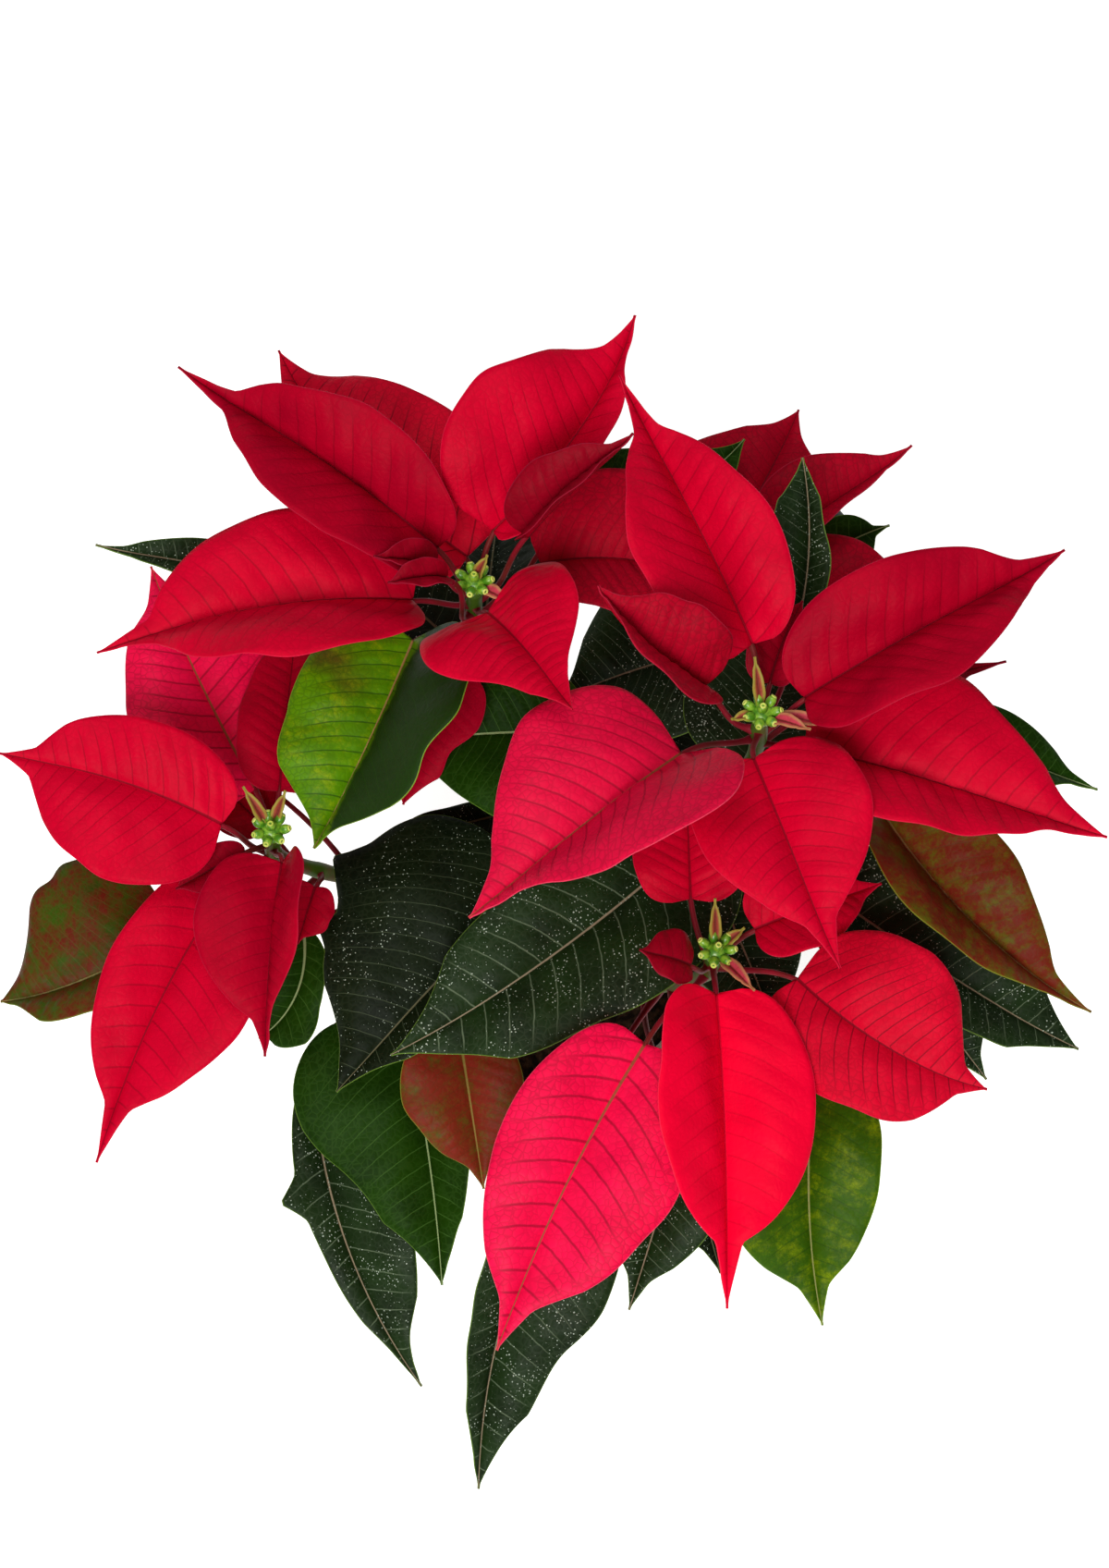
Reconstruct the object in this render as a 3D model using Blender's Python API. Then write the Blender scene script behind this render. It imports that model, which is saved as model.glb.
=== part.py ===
"""A flowering poinsettia in a plain round pot: five heads of red bracts over green leaves.

Z is up, and the origin is on the floor under the middle of the pot. X runs to the right and Y to the
back of the plant. Every length below is in millimetres, and MM turns it into metres.
"""

import math

import bmesh
import bpy
from mathutils import Vector

MM = 0.001
GAP = 0.35

# The pot and what is in it
POT_HEIGHT = 118.0
POT_FOOT_RADIUS = 47.0
POT_WALL_TOP_RADIUS = 63.5
POT_RIM_RADIUS = 66.5
POT_RIM_HEIGHT = 18.0
POT_EDGE_ROUND = 1.5
POT_LIP_ROUND = 1.2
POT_RIM_TAPER = 0.4
POT_WALL = 4.5
POT_FLOOR = 5.0
POT_SIDES = 32
DRAIN_HOLES = 4
DRAIN_HOLE_RADIUS = 4.0
DRAIN_RING_RADIUS = 27.0
DRAIN_SIDES = 10
DRILL_EXTRA = 2.0
SOIL_HEIGHT = 103.0
SOIL_BUMP = 1.4
SOIL_RINGS = (18.0, 34.0, 48.0)
SOIL_EDGE_DROP = 1.0
TRUNK_HOLE_RADIUS = 5.6
TRUNK_HOLE_DEPTH = 30.0

# The woody lower stem
TRUNK_RADIUS = 5.0
TRUNK_TOP = 156.0
TRUNK_TAPER = 0.4
TRUNK_SIDES = 10
TRUNK_STEPS = 6

# The green stems, each from the trunk to the flowers at the middle of its head
STEM_FOOT_RADIUS = 3.3
STEM_TOP_RADIUS = 2.6
STEM_SIDES = 7
STEM_STEPS = 9
STEMS = {
    "a": [(-2.3, 5.2, 146), (-5, 12, 147), (-14, 32, 180), (-24, 54, 236), (-29, 64, 282), (-29, 65, 306)],
    "b": [(5.9, 0.4, 140), (13, 1, 141), (36, 3, 170), (61, 5, 230), (71, 6, 290), (72, 6, 321)],
    "c": [(-5.8, -0.9, 134), (-13, -3, 135), (-38, -6, 162), (-68, -9, 204), (-94, -15, 240),
          (-102, -17, 256), (-102, -17, 271)],
    "d": [(4.1, -4.3, 128), (9, -10, 129), (28, -31, 162), (45, -50, 208), (55, -60, 246), (57, -61, 266)],
    "e": [(3.1, 7.3, 150), (10, 22, 164), (26, 46, 194), (46, 68, 222), (60, 88, 246), (63, 91, 260)],
}

# Blade form. A blade is ovate, and its last stretch is a drawn-out tip. Starts, ends and fades are
# shares of the blade's length, and the tip's share is of its greatest half width.
BLADE_THICKNESS = 0.8
RIB_DEPTH = 0.8
STALK_RADIUS = 1.25
STALK_STRAIGHT = 5.0
BASE_ROUND = 0.4
TIP_SHARE = 0.17
TIP_CURVE = 1.15
TIP_FADE_START = 0.5
TIP_FADE_END = 0.75
HOOK_START = 0.7
BASE_SWEEP = 0.32
SWEEP_END = 0.35
FLAT_HALF = 3.0
NECK_HALF = 1.5
TIP_HALF = 0.55
CROWN = 0.10
CROWN_FULL = 0.25
WAVE = 0.9
WAVE_FULL_HALF = 12.0
WAVES_PER_BLADE = 2.5
# Sections along the body of a blade, as shares of its length up to the drawn-out tip
LARGE_SECTIONS = (0.0, 0.023, 0.12, 0.27, 0.44, 0.62, 0.78, 0.92, 1.015)
SMALL_SECTIONS = (0.0, 0.035, 0.21, 0.465, 0.73, 0.965)
LARGE_WIDTH = 60.0

# Each blade: name, stem, height where its stalk leaves the stem, blade base, blade tip, width of the
# left and the right half (seen from the base), where it is widest and where its drawn-out tip starts
# (0 at the base, 1 at the tip), lift of the left and the right half in degrees, bow, sway and tip hook
BRACTS = [
    ("bract_a1_rear_left", "a", 302, (-42, 76, 318), (-135, 135, 345), (37, 28), 0.36, 0.81, 34, 50, 4, 2, 8),
    ("bract_a2_left", "a", 296, (-51, 58, 312), (-162, 34, 318), (45, 35), 0.37, 0.82, 40, 12, 5, 5, 3),
    ("bract_a3_rear", "a", 306, (-22, 83, 318), (29, 156, 346), (43, 20), 0.34, 0.86, 34, 40, 3, 6, 8),
    ("bract_a4_upright", "a", 298, (-10, 72, 335), (27, 94, 368), (17, 17), 0.34, 0.86, 40, 66, 3, 0, 4),
    ("bract_a5_front", "a", 296, (-24, 52, 314), (6, -3, 350), (30, 33), 0.28, 0.82, 24, 8, 3, -1, 4),
    ("bract_a6_dark", "a", 304, (-43, 64, 326), (-63, 60, 342), (9, 9), 0.34, 0.86, 40, 40, 1, 0, 1),
    ("bract_a10_folded", "a", 291, (-38, 56, 333), (-58, 49, 343), (9, 7), 0.38, 0.90, 40, 40, 2, 0, 1),
    ("bract_a7_far_rear", "a", 290, (-32, 83, 298), (-104, 171, 298), (33, 38), 0.35, 0.87, 25, 20, 5, -8, 4),
    ("bract_a8_right", "a", 286, (-5, 80, 298), (49, 79, 296), (34, 26), 0.51, 0.86, 15, 16, 4, -2, 3),
    ("bract_a9_lower", "a", 262, (-43, 51, 267), (-56, 5, 250), (22, 23), 0.26, 0.90, 15, 12, 3, 0, 2),
    ("bract_b1_rear_left", "b", 314, (69, 30, 333), (23, 121, 362), (38, 27), 0.33, 0.81, 35, 36, 4, 1, 8),
    ("bract_b2_right", "b", 311, (87, 11, 329), (177, 57, 352), (30, 37), 0.35, 0.86, 36, 38, 5, 0, 7),
    ("bract_b3_folded", "b", 313, (52, 9, 343), (15, 32, 373), (22, 24), 0.34, 0.90, 58, 40, 3, -5, 3),
    ("bract_b4_left", "b", 308, (44, -7, 322), (-29, -69, 324), (53, 44), 0.31, 0.85, 48, 4, 5, 0, 4),
    ("bract_b5_front", "b", 315, (69, -10, 324), (96, -88, 326), (33, 31), 0.33, 0.80, 14, 12, 6, 1, 4),
    ("bract_b6_right", "b", 304, (88, 0, 312), (191, -36, 316), (40, 34), 0.32, 0.86, 10, 34, 4, 0, 3),
    ("bract_b7_far_right", "b", 300, (94, 20, 302), (163, 41, 297), (14, 16), 0.32, 0.80, 20, 20, 3, 0, 2),
    ("bract_b8_dark", "b", 306, (76, 23, 316), (88, 52, 323), (13, 12), 0.47, 0.90, 20, 20, 2, -1, 2),
    ("bract_c1_left", "c", 258, (-119, -17, 283), (-198, 5, 296), (36, 25), 0.38, 0.86, 0, 20, 4, 3, 4),
    ("bract_c2_front_left", "c", 258, (-116, -31, 265), (-161, -133, 252), (35, 24), 0.36, 0.82, 12, 20, 4, 4, 3),
    ("bract_c3_front", "c", 265, (-97, -31, 281), (-101, -102, 276), (26, 28), 0.35, 0.83, 64, 14, 4, 1, 3),
    ("bract_c4_rear_left", "c", 252, (-110, 8, 258), (-152, 96, 266), (32, 33), 0.34, 0.87, 8, 0, 4, -2, 4),
    ("bract_c5_upright", "c", 263, (-100, 2, 270), (-96, 72, 269), (18, 21), 0.36, 0.88, 12, 10, 2, 0, 2),
    ("bract_c6_small", "c", 267, (-111, -24, 274), (-135, -39, 276), (9, 8), 0.42, 0.92, 15, 15, 1, 0, 1),
    ("bract_c7_lower", "c", 232, (-88, -25, 243), (-94, -46, 240), (10, 13), 0.42, 0.88, 10, 10, 1, 0, 1),
    ("bract_c8_rear", "c", 244, (-107, -4, 249), (-127, 18, 244), (13, 13), 0.34, 0.86, 10, 10, 2, 0, 1),
    ("bract_d1_front", "d", 262, (57, -78, 273), (59, -188, 262), (32, 33), 0.38, 0.80, 5, 44, 5, -1, 3),
    ("bract_d2_front_left", "d", 250, (32, -92, 260), (-20, -198, 244), (38, 30), 0.36, 0.87, 8, 14, 4, 3, 3),
    ("bract_d3_right", "d", 258, (86, -71, 270), (151, -112, 270), (37, 28), 0.40, 0.88, 14, 0, 4, 6, 4),
    ("bract_d4_small", "d", 260, (48, -69, 278), (30, -68, 291), (9, 11), 0.36, 0.88, 4, 6, 2, 0, 2),
    ("bract_d5_rear", "d", 254, (49, -38, 264), (48, 5, 268), (21, 21), 0.34, 0.86, 10, 10, 2, 0, 2),
    ("bract_d6_rear_right", "d", 246, (72, -49, 262), (118, -32, 264), (19, 19), 0.34, 0.86, 20, 20, 2, 0, 2),
    ("bract_e1_rear", "e", 250, (66, 105, 263), (93, 157, 278), (35, 25), 0.32, 0.87, 14, 10, 4, 1, 5),
    ("bract_e2_right", "e", 253, (82, 99, 277), (133, 131, 296), (22, 11), 0.31, 0.85, 26, 46, 4, 1, 5),
    ("bract_e3_front_right", "e", 246, (79, 88, 268), (150, 66, 258), (25, 25), 0.34, 0.86, 20, 20, 4, 0, 3),
    ("bract_e4_rear_left", "e", 240, (54, 106, 254), (40, 152, 250), (22, 22), 0.34, 0.86, 10, 10, 4, 0, 3),
    ("bract_e5_front", "e", 244, (58, 79, 261), (43, 58, 258), (14, 14), 0.34, 0.86, 20, 20, 2, 0, 2),
]

LEAVES = [
    ("g1", "a", 262, (-52, 59, 278), (-87, -20, 268), (48, 34), 0.37, 0.91, 48, 10, 4, -2, 3),
    ("g2", "a", 206, (-9, -20, 230), (-80, -95, 216), (24, 56), 0.32, 0.89, 12, 4, 6, 0, 3),
    ("g15", "a", 252, (-105, 86, 274), (-168, 88, 298), (10, 10), 0.34, 0.86, 30, 30, 2, 0, 3),
    ("g16", "b", 232, (9, 32, 256), (-61, 33, 246), (36, 25), 0.32, 0.86, 0, 20, 3, 0, 2),
    ("g23", "a", 268, (13, 116, 278), (71, 136, 292), (20, 28), 0.26, 0.90, 20, 20, 2, 9, 2),
    ("h1", "a", 212, (-42, 80, 240), (-98, 148, 196), (36, 30), 0.34, 0.86, 18, 18, 6, 0, 3),
    ("h2", "a", 200, (-27, 100, 214), (-22, 172, 184), (28, 28), 0.34, 0.86, 18, 18, 6, 0, 3),
    ("h8", "a", 184, (-8, 23, 206), (-70, 9, 200), (16, 8), 0.45, 0.90, 8, 8, 2, 0, 2),
    ("g3", "b", 226, (54, -5, 246), (-59, -89, 240), (38, 34), 0.32, 0.91, 6, 14, 5, -6, 3),
    ("g10", "b", 222, (103, -26, 236), (194, -77, 212), (36, 29), 0.27, 0.90, 20, 16, 6, 4, 3),
    ("g11", "b", 250, (120, -4, 262), (194, -74, 244), (29, 27), 0.33, 0.84, 30, 42, 5, 8, 3),
    ("g12", "b", 190, (126, -40, 206), (163, -80, 186), (20, 20), 0.34, 0.86, 15, 15, 4, 0, 2),
    ("g19", "b", 198, (60, -13, 216), (84, -66, 198), (25, 25), 0.34, 0.86, 15, 15, 4, 0, 2),
    ("g20", "b", 262, (129, 29, 268), (202, 13, 246), (17, 17), 0.34, 0.86, 14, 30, 4, 0, 3),
    ("g24", "b", 286, (88, 54, 304), (89, 105, 332), (29, 10), 0.28, 0.90, 40, 40, 2, 3, 2),
    ("g27", "b", 240, (71, 21, 253), (90, 80, 252), (30, 25), 0.34, 0.86, 8, 8, 2, 0, 2),
    ("h3", "b", 186, (112, 48, 214), (165, 62, 194), (25, 25), 0.34, 0.86, 18, 18, 6, 0, 3),
    ("h9", "b", 170, (60, 25, 203), (58, 74, 196), (20, 24), 0.34, 0.86, 10, 10, 3, 0, 2),
    ("g4", "c", 190, (-57, -59, 198), (-42, -154, 166), (30, 46), 0.28, 0.88, 40, 4, 5, -2, 3),
    ("g5", "c", 200, (-35, -74, 220), (-26, -127, 200), (21, 25), 0.34, 0.86, 12, 12, 3, 0, 2),
    ("g6", "c", 160, (-92, -75, 170), (-50, -186, 140), (36, 12), 0.33, 0.88, 34, 12, 5, 9, 3),
    ("g13", "c", 228, (-142, -38, 228), (-206, -59, 214), (21, 45), 0.36, 0.91, 30, 6, 4, -5, 3),
    ("g14", "c", 206, (-94, -32, 214), (-111, -68, 198), (11, 23), 0.60, 0.94, 10, 10, 3, -7, 2),
    ("h4", "c", 214, (-112, 24, 230), (-160, 68, 204), (26, 26), 0.34, 0.86, 18, 18, 6, 0, 3),
    ("g7", "d", 196, (3, -121, 206), (-28, -227, 152), (35, 20), 0.28, 0.89, 5, 52, 6, 7, 3),
    ("g8", "d", 206, (51, -101, 220), (27, -171, 195), (24, 24), 0.34, 0.86, 15, 20, 4, 0, 3),
    ("g9", "d", 216, (95, -91, 226), (97, -177, 196), (27, 35), 0.36, 0.85, 18, 12, 5, 4, 3),
    ("h5", "d", 178, (42, -86, 192), (62, -150, 168), (25, 25), 0.34, 0.86, 15, 15, 6, 0, 3),
    ("g17", "e", 236, (58, 70, 248), (2, 57, 234), (36, 38), 0.32, 0.88, 12, 8, 3, 0, 2),
    ("g18", "e", 222, (34, 60, 236), (2, 50, 226), (18, 16), 0.34, 0.86, 8, 8, 1, 0, 1),
    ("g25", "e", 230, (95, 100, 240), (128, 119, 256), (12, 17), 0.42, 0.86, 20, 20, 2, -4, 2),
    ("h6", "e", 214, (41, 98, 236), (8, 178, 200), (28, 28), 0.34, 0.86, 18, 18, 6, 0, 3),
    ("h7", "e", 204, (76, 122, 220), (112, 168, 196), (27, 27), 0.34, 0.86, 18, 18, 6, 0, 3),
]

# Lobes on a leaf's edge: leaf, side (-1 left, 1 right), place along the blade, reach and half length
LOBES = [
    ("g2", 1, 0.4, 7, 0.1),
    ("g2", 1, 0.6, 9, 0.06),
    ("g6", 1, 0.345, 8, 0.07),
]

# The flowers: small green cups in a dome on a short base, with narrow bractlets between them
CUP_RADIUS = 1.8
CUP_HEIGHT = 4.6
CUP_SIDES = 5
CUP_LEAN = 58.0
CUPS_AROUND = 7
CUP_SEAT = 3.6
DOME_PROFILE = ((0.0, 2.2), (2.4, 3.8), (5.0, 4.6), (8.0, 2.0))
DOME_SIDES = 6
DOME_MIDDLE = 4.0
BRACTLET_HALF = 2.5
BRACTLET_RISE = 3.0
BRACTLET_START = 5.0
BRACTLET_STALK_RADIUS = 0.8
BRACTLET_SECTIONS = (0.1, 0.45, 0.8, 1.0)
# Bractlets of each head: direction in degrees from +X, length and rise
BRACTLETS = {
    "a": [(48, 10, 62), (-35, 11, 20)],
    "b": [(100, 17, 45), (-12, 23, 12), (-30, 16, 28), (200, 8, 30)],
    "c": [(128, 16, 45), (66, 12, 40)],
    "d": [(-54, 19, 25), (35, 9, 30), (92, 16, 45)],
    "e": [(150, 14, 35), (-60, 14, 35)],
}


def clear_scene():
    """Start from an empty scene."""
    for thing in list(bpy.data.objects):
        bpy.data.objects.remove(thing, do_unlink=True)


def finish(name, colour, roughness):
    """A plain Principled material."""
    material = bpy.data.materials.new(name)
    material.use_nodes = True
    shader = material.node_tree.nodes["Principled BSDF"]
    shader.inputs["Base Color"].default_value = (*colour, 1.0)
    shader.inputs["Roughness"].default_value = roughness
    return material


def add_object(name, points, faces, material):
    """An object from points in millimetres, with its faces turned outwards."""
    mesh = bpy.data.meshes.new(name)
    mesh.from_pydata([Vector(point) * MM for point in points], [], faces)
    shape = bmesh.new()
    shape.from_mesh(mesh)
    bmesh.ops.recalc_face_normals(shape, faces=shape.faces)
    bmesh.ops.triangulate(shape, faces=[face for face in shape.faces if len(face.verts) > 3])
    shape.to_mesh(mesh)
    shape.free()
    mesh.materials.append(material)
    thing = bpy.data.objects.new(name, mesh)
    bpy.context.scene.collection.objects.link(thing)
    return thing


def skin_rings(rings, top_count=0):
    """Faces that join rings of equal count and cap both ends.

    A blade's ring starts with its top_count upper points, from left to right, and goes back below.
    Its upper and lower faces are split along matching diagonals.
    """
    count = len(rings[0])
    points = [point for ring in rings for point in ring]
    faces = []
    for row in range(len(rings) - 1):
        here = row * count
        there = here + count
        for place in range(count):
            after = (place + 1) % count
            if not top_count:
                faces.append((here + place, here + after, there + after, there + place))
                continue
            is_below = place >= top_count - 1
            column = count - 2 - place if is_below else place
            is_right_half = column >= top_count // 2
            if is_below != is_right_half:
                faces.append((here + place, here + after, there + after))
                faces.append((here + place, there + after, there + place))
            else:
                faces.append((here + place, here + after, there + place))
                faces.append((here + after, there + after, there + place))
    faces.append(tuple(reversed(range(count))))
    last = (len(rings) - 1) * count
    faces.append(tuple(last + place for place in range(count)))
    return points, faces


def smooth_path(marks, share):
    """The point at a share, 0 to 1, along a smooth curve through the marks."""
    spans = len(marks) - 1
    place = min(max(share, 0.0), 1.0) * spans
    span = min(int(place), spans - 1)
    t = place - span
    p1 = Vector(marks[span])
    p2 = Vector(marks[span + 1])
    p0 = Vector(marks[span - 1]) if span > 0 else p1 * 2 - p2
    p3 = Vector(marks[span + 2]) if span + 2 <= spans else p2 * 2 - p1
    return 0.5 * (2 * p1 + (p2 - p0) * t + (2 * p0 - 5 * p1 + 4 * p2 - p3) * t * t
                  + (3 * p1 - p0 - 3 * p2 + p3) * t * t * t)


def stem_at_height(stem, height):
    """The centre of a stem, its direction and its radius at a height."""
    marks = STEMS[stem]
    low, high = 0.0, 1.0
    for _ in range(30):
        middle = (low + high) / 2
        if smooth_path(marks, middle).z < height:
            low = middle
        else:
            high = middle
    share = (low + high) / 2
    centre = smooth_path(marks, share)
    ahead = smooth_path(marks, share + 0.01)
    behind = smooth_path(marks, share - 0.01)
    radius = STEM_FOOT_RADIUS + (STEM_TOP_RADIUS - STEM_FOOT_RADIUS) * share
    return centre, (ahead - behind).normalized(), radius


def ring_around(centre, direction, upward, radius, count):
    """Points round a stalk, from its upper left, over the top, and back below."""
    side = direction.cross(upward).normalized()
    top = side.cross(direction).normalized()
    step = 2 * math.pi / count
    angles = [math.pi - (place + 0.5) * step for place in range(count)]
    return [centre + side * math.cos(a) * radius + top * math.sin(a) * radius for a in angles]


def blade_width(u, widest, body_end):
    """Half width of a blade at u along it, as a share of its greatest half width."""
    peak = widest / body_end
    body = 0.0
    if u < body_end:
        s = u / body_end
        fall = BASE_ROUND * (1 - peak * peak) / (2 * peak * peak)
        body = (s / peak) ** BASE_ROUND * ((1 - s * s) / (1 - peak * peak)) ** fall
    drawn = TIP_SHARE * ((1 - u) / (1 - body_end)) ** TIP_CURVE
    fade = (u - TIP_FADE_START) / (TIP_FADE_END - TIP_FADE_START)
    return math.hypot(body, drawn * min(1.0, max(0.0, fade)))


def lobe_reach(name, side, u):
    """How far lobes push a blade's edge out at u."""
    reach = 0.0
    for leaf, lobe_side, place, size, half_length in LOBES:
        if leaf == name and lobe_side == side:
            reach += size * max(0.0, 1 - abs(u - place) / half_length)
    return reach


def blade_sections(name, body_end, is_large):
    """Where along the blade its sections stand, with one at each lobe's tip."""
    places = {share * body_end for share in (LARGE_SECTIONS if is_large else SMALL_SECTIONS)} | {1.0}
    for leaf, _, place, _, half_length in LOBES:
        if leaf == name:
            places = {p for p in places if abs(p - place) > half_length}
            places |= {place - half_length, place, place + half_length}
    return sorted(places)


def blade_rings(name, base, tip, halves, widest, body_end, left, right, bow, sway, hook, sections, across):
    """Rings of a folded, bowed blade from its base to its tip, and the way its chord and top face."""
    base, tip = Vector(base), Vector(tip)
    chord = (tip - base).normalized()
    up = (Vector((0, 0, 1)) - chord * chord.z).normalized()
    side = chord.cross(up)
    straight_tip = tip - up * hook

    def midrib(u):
        lifted = max(0.0, (u - HOOK_START) / (1 - HOOK_START)) ** 2
        arc = 4 * u * (1 - u)
        return base.lerp(straight_tip, u) + (up * bow + side * sway) * arc + up * hook * lifted

    phase = sum(ord(letter) for letter in name)
    rings = []
    for u in sections:
        centre = midrib(u)
        along = (midrib(u + 0.01) - midrib(u - 0.01)).normalized()
        across_way = along.cross(up).normalized()
        local_up = across_way.cross(along)
        share = blade_width(u, widest, body_end)
        sweep = BASE_SWEEP * max(0.0, 1 - u / SWEEP_END)
        upper, lower = [], []
        for v in across:
            sign = 1 if v >= 0 else -1
            half = max(halves[1 if v >= 0 else 0] * share, NECK_HALF if u < HOOK_START else TIP_HALF)
            lift = math.radians(right if v > 0 else left if v < 0 else 0)
            if u > HOOK_START:
                lift *= min(1.0, half / FLAT_HALF)
            outward = across_way * math.cos(lift) * sign + local_up * math.sin(lift)
            above = local_up * math.cos(lift) - across_way * math.sin(lift) * sign
            reach = (half + lobe_reach(name, sign, u)) * abs(v)
            rise = CROWN * min(1.0, u / CROWN_FULL) * half * 4 * abs(v) * (1 - abs(v))
            wave = WAVE * math.sin(2 * math.pi * WAVES_PER_BLADE * u + phase + sign)
            rise += wave * v * v * min(1.0, half / WAVE_FULL_HALF)
            middle = centre + outward * reach + above * rise - along * sweep * reach
            skin = BLADE_THICKNESS / 2
            if v == 0:
                skin /= max(0.6, math.cos(math.radians((left + right) / 2)))
            upper.append(middle + above * skin)
            rib = RIB_DEPTH * (1 - u) if v == 0 else 0.0
            lower.append(middle - above * (skin + rib))
        rings.append(upper + lower[::-1])
    return rings, chord, up


def stalk_rings(stem, height, base, chord, up, count, is_sunk):
    """Rings of a leaf's stalk, from the stem to the blade's base."""
    centre, axis, radius = stem_at_height(stem, height)
    outward = base - centre
    outward = (outward - axis * outward.dot(axis)).normalized()
    root = centre if is_sunk else centre + outward * (radius + GAP)
    reach = (base - root).length
    middle = base - chord * min(STALK_STRAIGHT, reach * 0.4)
    slope = ((middle - root).normalized() + chord).normalized()
    return [
        ring_around(root, outward, up, STALK_RADIUS, count),
        ring_around(middle, slope, up, STALK_RADIUS, count),
    ]


def add_blade(blade, material, is_sunk=False):
    """A stalk and its blade in one closed body."""
    name, stem, height, base, tip, halves, widest, body_end, left, right, bow, sway, hook = blade
    is_large = sum(halves) >= LARGE_WIDTH
    across = (-1.0, -0.5, 0.0, 0.5, 1.0) if is_large else (-1.0, 0.0, 1.0)
    rings, chord, up = blade_rings(name, base, tip, halves, widest, body_end, left, right, bow, sway, hook,
                                   blade_sections(name, body_end, is_large), across)
    stalk = stalk_rings(stem, height, Vector(base), chord, up, 2 * len(across), is_sunk)
    points, faces = skin_rings(stalk + rings, len(across))
    return add_object(name, points, faces, material)


def join_repeats(body, repeats):
    """Fuse repeats into the body with one Boolean union, then remove them."""
    group = bpy.data.collections.new(body.name + "_repeats")
    bpy.context.scene.collection.children.link(group)
    for repeat in repeats:
        bpy.context.scene.collection.objects.unlink(repeat)
        group.objects.link(repeat)
    union = body.modifiers.new("fuse", "BOOLEAN")
    union.operation = "UNION"
    union.operand_type = "COLLECTION"
    union.collection = group
    union.solver = "EXACT"
    bpy.context.view_layer.update()
    fused = bpy.data.meshes.new_from_object(body.evaluated_get(bpy.context.evaluated_depsgraph_get()))
    body.modifiers.clear()
    body.data = fused
    for repeat in repeats:
        bpy.data.objects.remove(repeat, do_unlink=True)
    bpy.data.collections.remove(group)


def add_tube(name, marks, radii, sides, steps, material):
    """A tapering stem along a smooth curve through the marks."""
    rings = []
    for step in range(steps + 1):
        share = step / steps
        centre = smooth_path(marks, share)
        direction = (smooth_path(marks, share + 0.01) - smooth_path(marks, share - 0.01)).normalized()
        guide = Vector((0, 1, 0)) if abs(direction.y) < 0.7 else Vector((1, 0, 0))
        radius = radii[0] + (radii[1] - radii[0]) * share
        rings.append(ring_around(centre, direction, guide, radius, sides))
    points, faces = skin_rings(rings)
    return add_object(name, points, faces, material)


def add_leafy_stem(stem, material):
    """A green stem with its own leaves grown on it."""
    body = add_tube("leafy_stem_" + stem, STEMS[stem], (STEM_FOOT_RADIUS, STEM_TOP_RADIUS), STEM_SIDES,
                    STEM_STEPS, material)
    leaves = [add_blade(leaf, material, is_sunk=True) for leaf in LEAVES if leaf[1] == stem]
    join_repeats(body, leaves)


def add_cup(foot, direction, material):
    """One small urn-shaped flower cup."""
    guide = Vector((1, 0, 0)) if abs(direction.x) < 0.7 else Vector((0, 1, 0))
    profile = ((0.0, 0.5), (0.55, 1.0), (1.0, 0.6))
    rings = [ring_around(foot + direction * CUP_HEIGHT * rise, direction, guide, CUP_RADIUS * share, CUP_SIDES)
             for rise, share in profile]
    points, faces = skin_rings(rings)
    return add_object("cup", points, faces, material)


def add_bractlet(foot, azimuth, length, rise, material):
    """One narrow bractlet that leans out from among the flowers."""
    turn = math.radians(azimuth)
    slope = math.radians(rise)
    way = Vector((math.cos(turn) * math.cos(slope), math.sin(turn) * math.cos(slope), math.sin(slope)))
    base = foot + way * BRACTLET_START
    tip = foot + way * (BRACTLET_START + length)
    rings, _, up = blade_rings("bractlet", base, tip, (BRACTLET_HALF, BRACTLET_HALF), 0.34, 0.86, 30, 30,
                               1, 0, 1, BRACTLET_SECTIONS, (-1.0, 0.0, 1.0))
    points, faces = skin_rings([ring_around(foot, way, up, BRACTLET_STALK_RADIUS, 6)] + rings, 3)
    return add_object("bractlet", points, faces, material)


def add_flowers(stem, material):
    """The cluster of small flowers on top of one stem."""
    top = Vector(STEMS[stem][-1])
    axis = (top - smooth_path(STEMS[stem], 0.97)).normalized()
    foot = top + axis * GAP
    guide = Vector((0, 1, 0))
    rings = [ring_around(foot + axis * rise, axis, guide, radius, DOME_SIDES) for rise, radius in DOME_PROFILE]
    points, faces = skin_rings(rings)
    body = add_object("flowers_" + stem, points, faces, material)
    middle = foot + axis * DOME_MIDDLE
    across = axis.cross(guide).normalized()
    ahead = across.cross(axis)
    lean = math.radians(CUP_LEAN)
    ways = [axis]
    for place in range(CUPS_AROUND):
        turn = 2 * math.pi * (place + 0.5) / CUPS_AROUND
        ways.append(axis * math.cos(lean) + (across * math.cos(turn) + ahead * math.sin(turn)) * math.sin(lean))
    repeats = [add_cup(middle + way * CUP_SEAT, way, material) for way in ways]
    for azimuth, length, rise in BRACTLETS[stem]:
        repeats.append(add_bractlet(foot + axis * BRACTLET_RISE, azimuth, length, rise, material))
    join_repeats(body, repeats)


def turned(name, profile, sides, material):
    """A turned body from a profile of (radius, height), capped at both ends."""
    step = 2 * math.pi / sides
    rings = [[Vector((radius * math.cos(place * step), radius * math.sin(place * step), height))
              for place in range(sides)] for radius, height in profile]
    points, faces = skin_rings(rings)
    return add_object(name, points, faces, material)


def inner_radius(height):
    """The pot's inner radius at a height."""
    share = (height - POT_FLOOR) / (POT_HEIGHT - POT_FLOOR)
    return POT_FOOT_RADIUS - POT_WALL + (POT_WALL_TOP_RADIUS - POT_FOOT_RADIUS) * share


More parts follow.
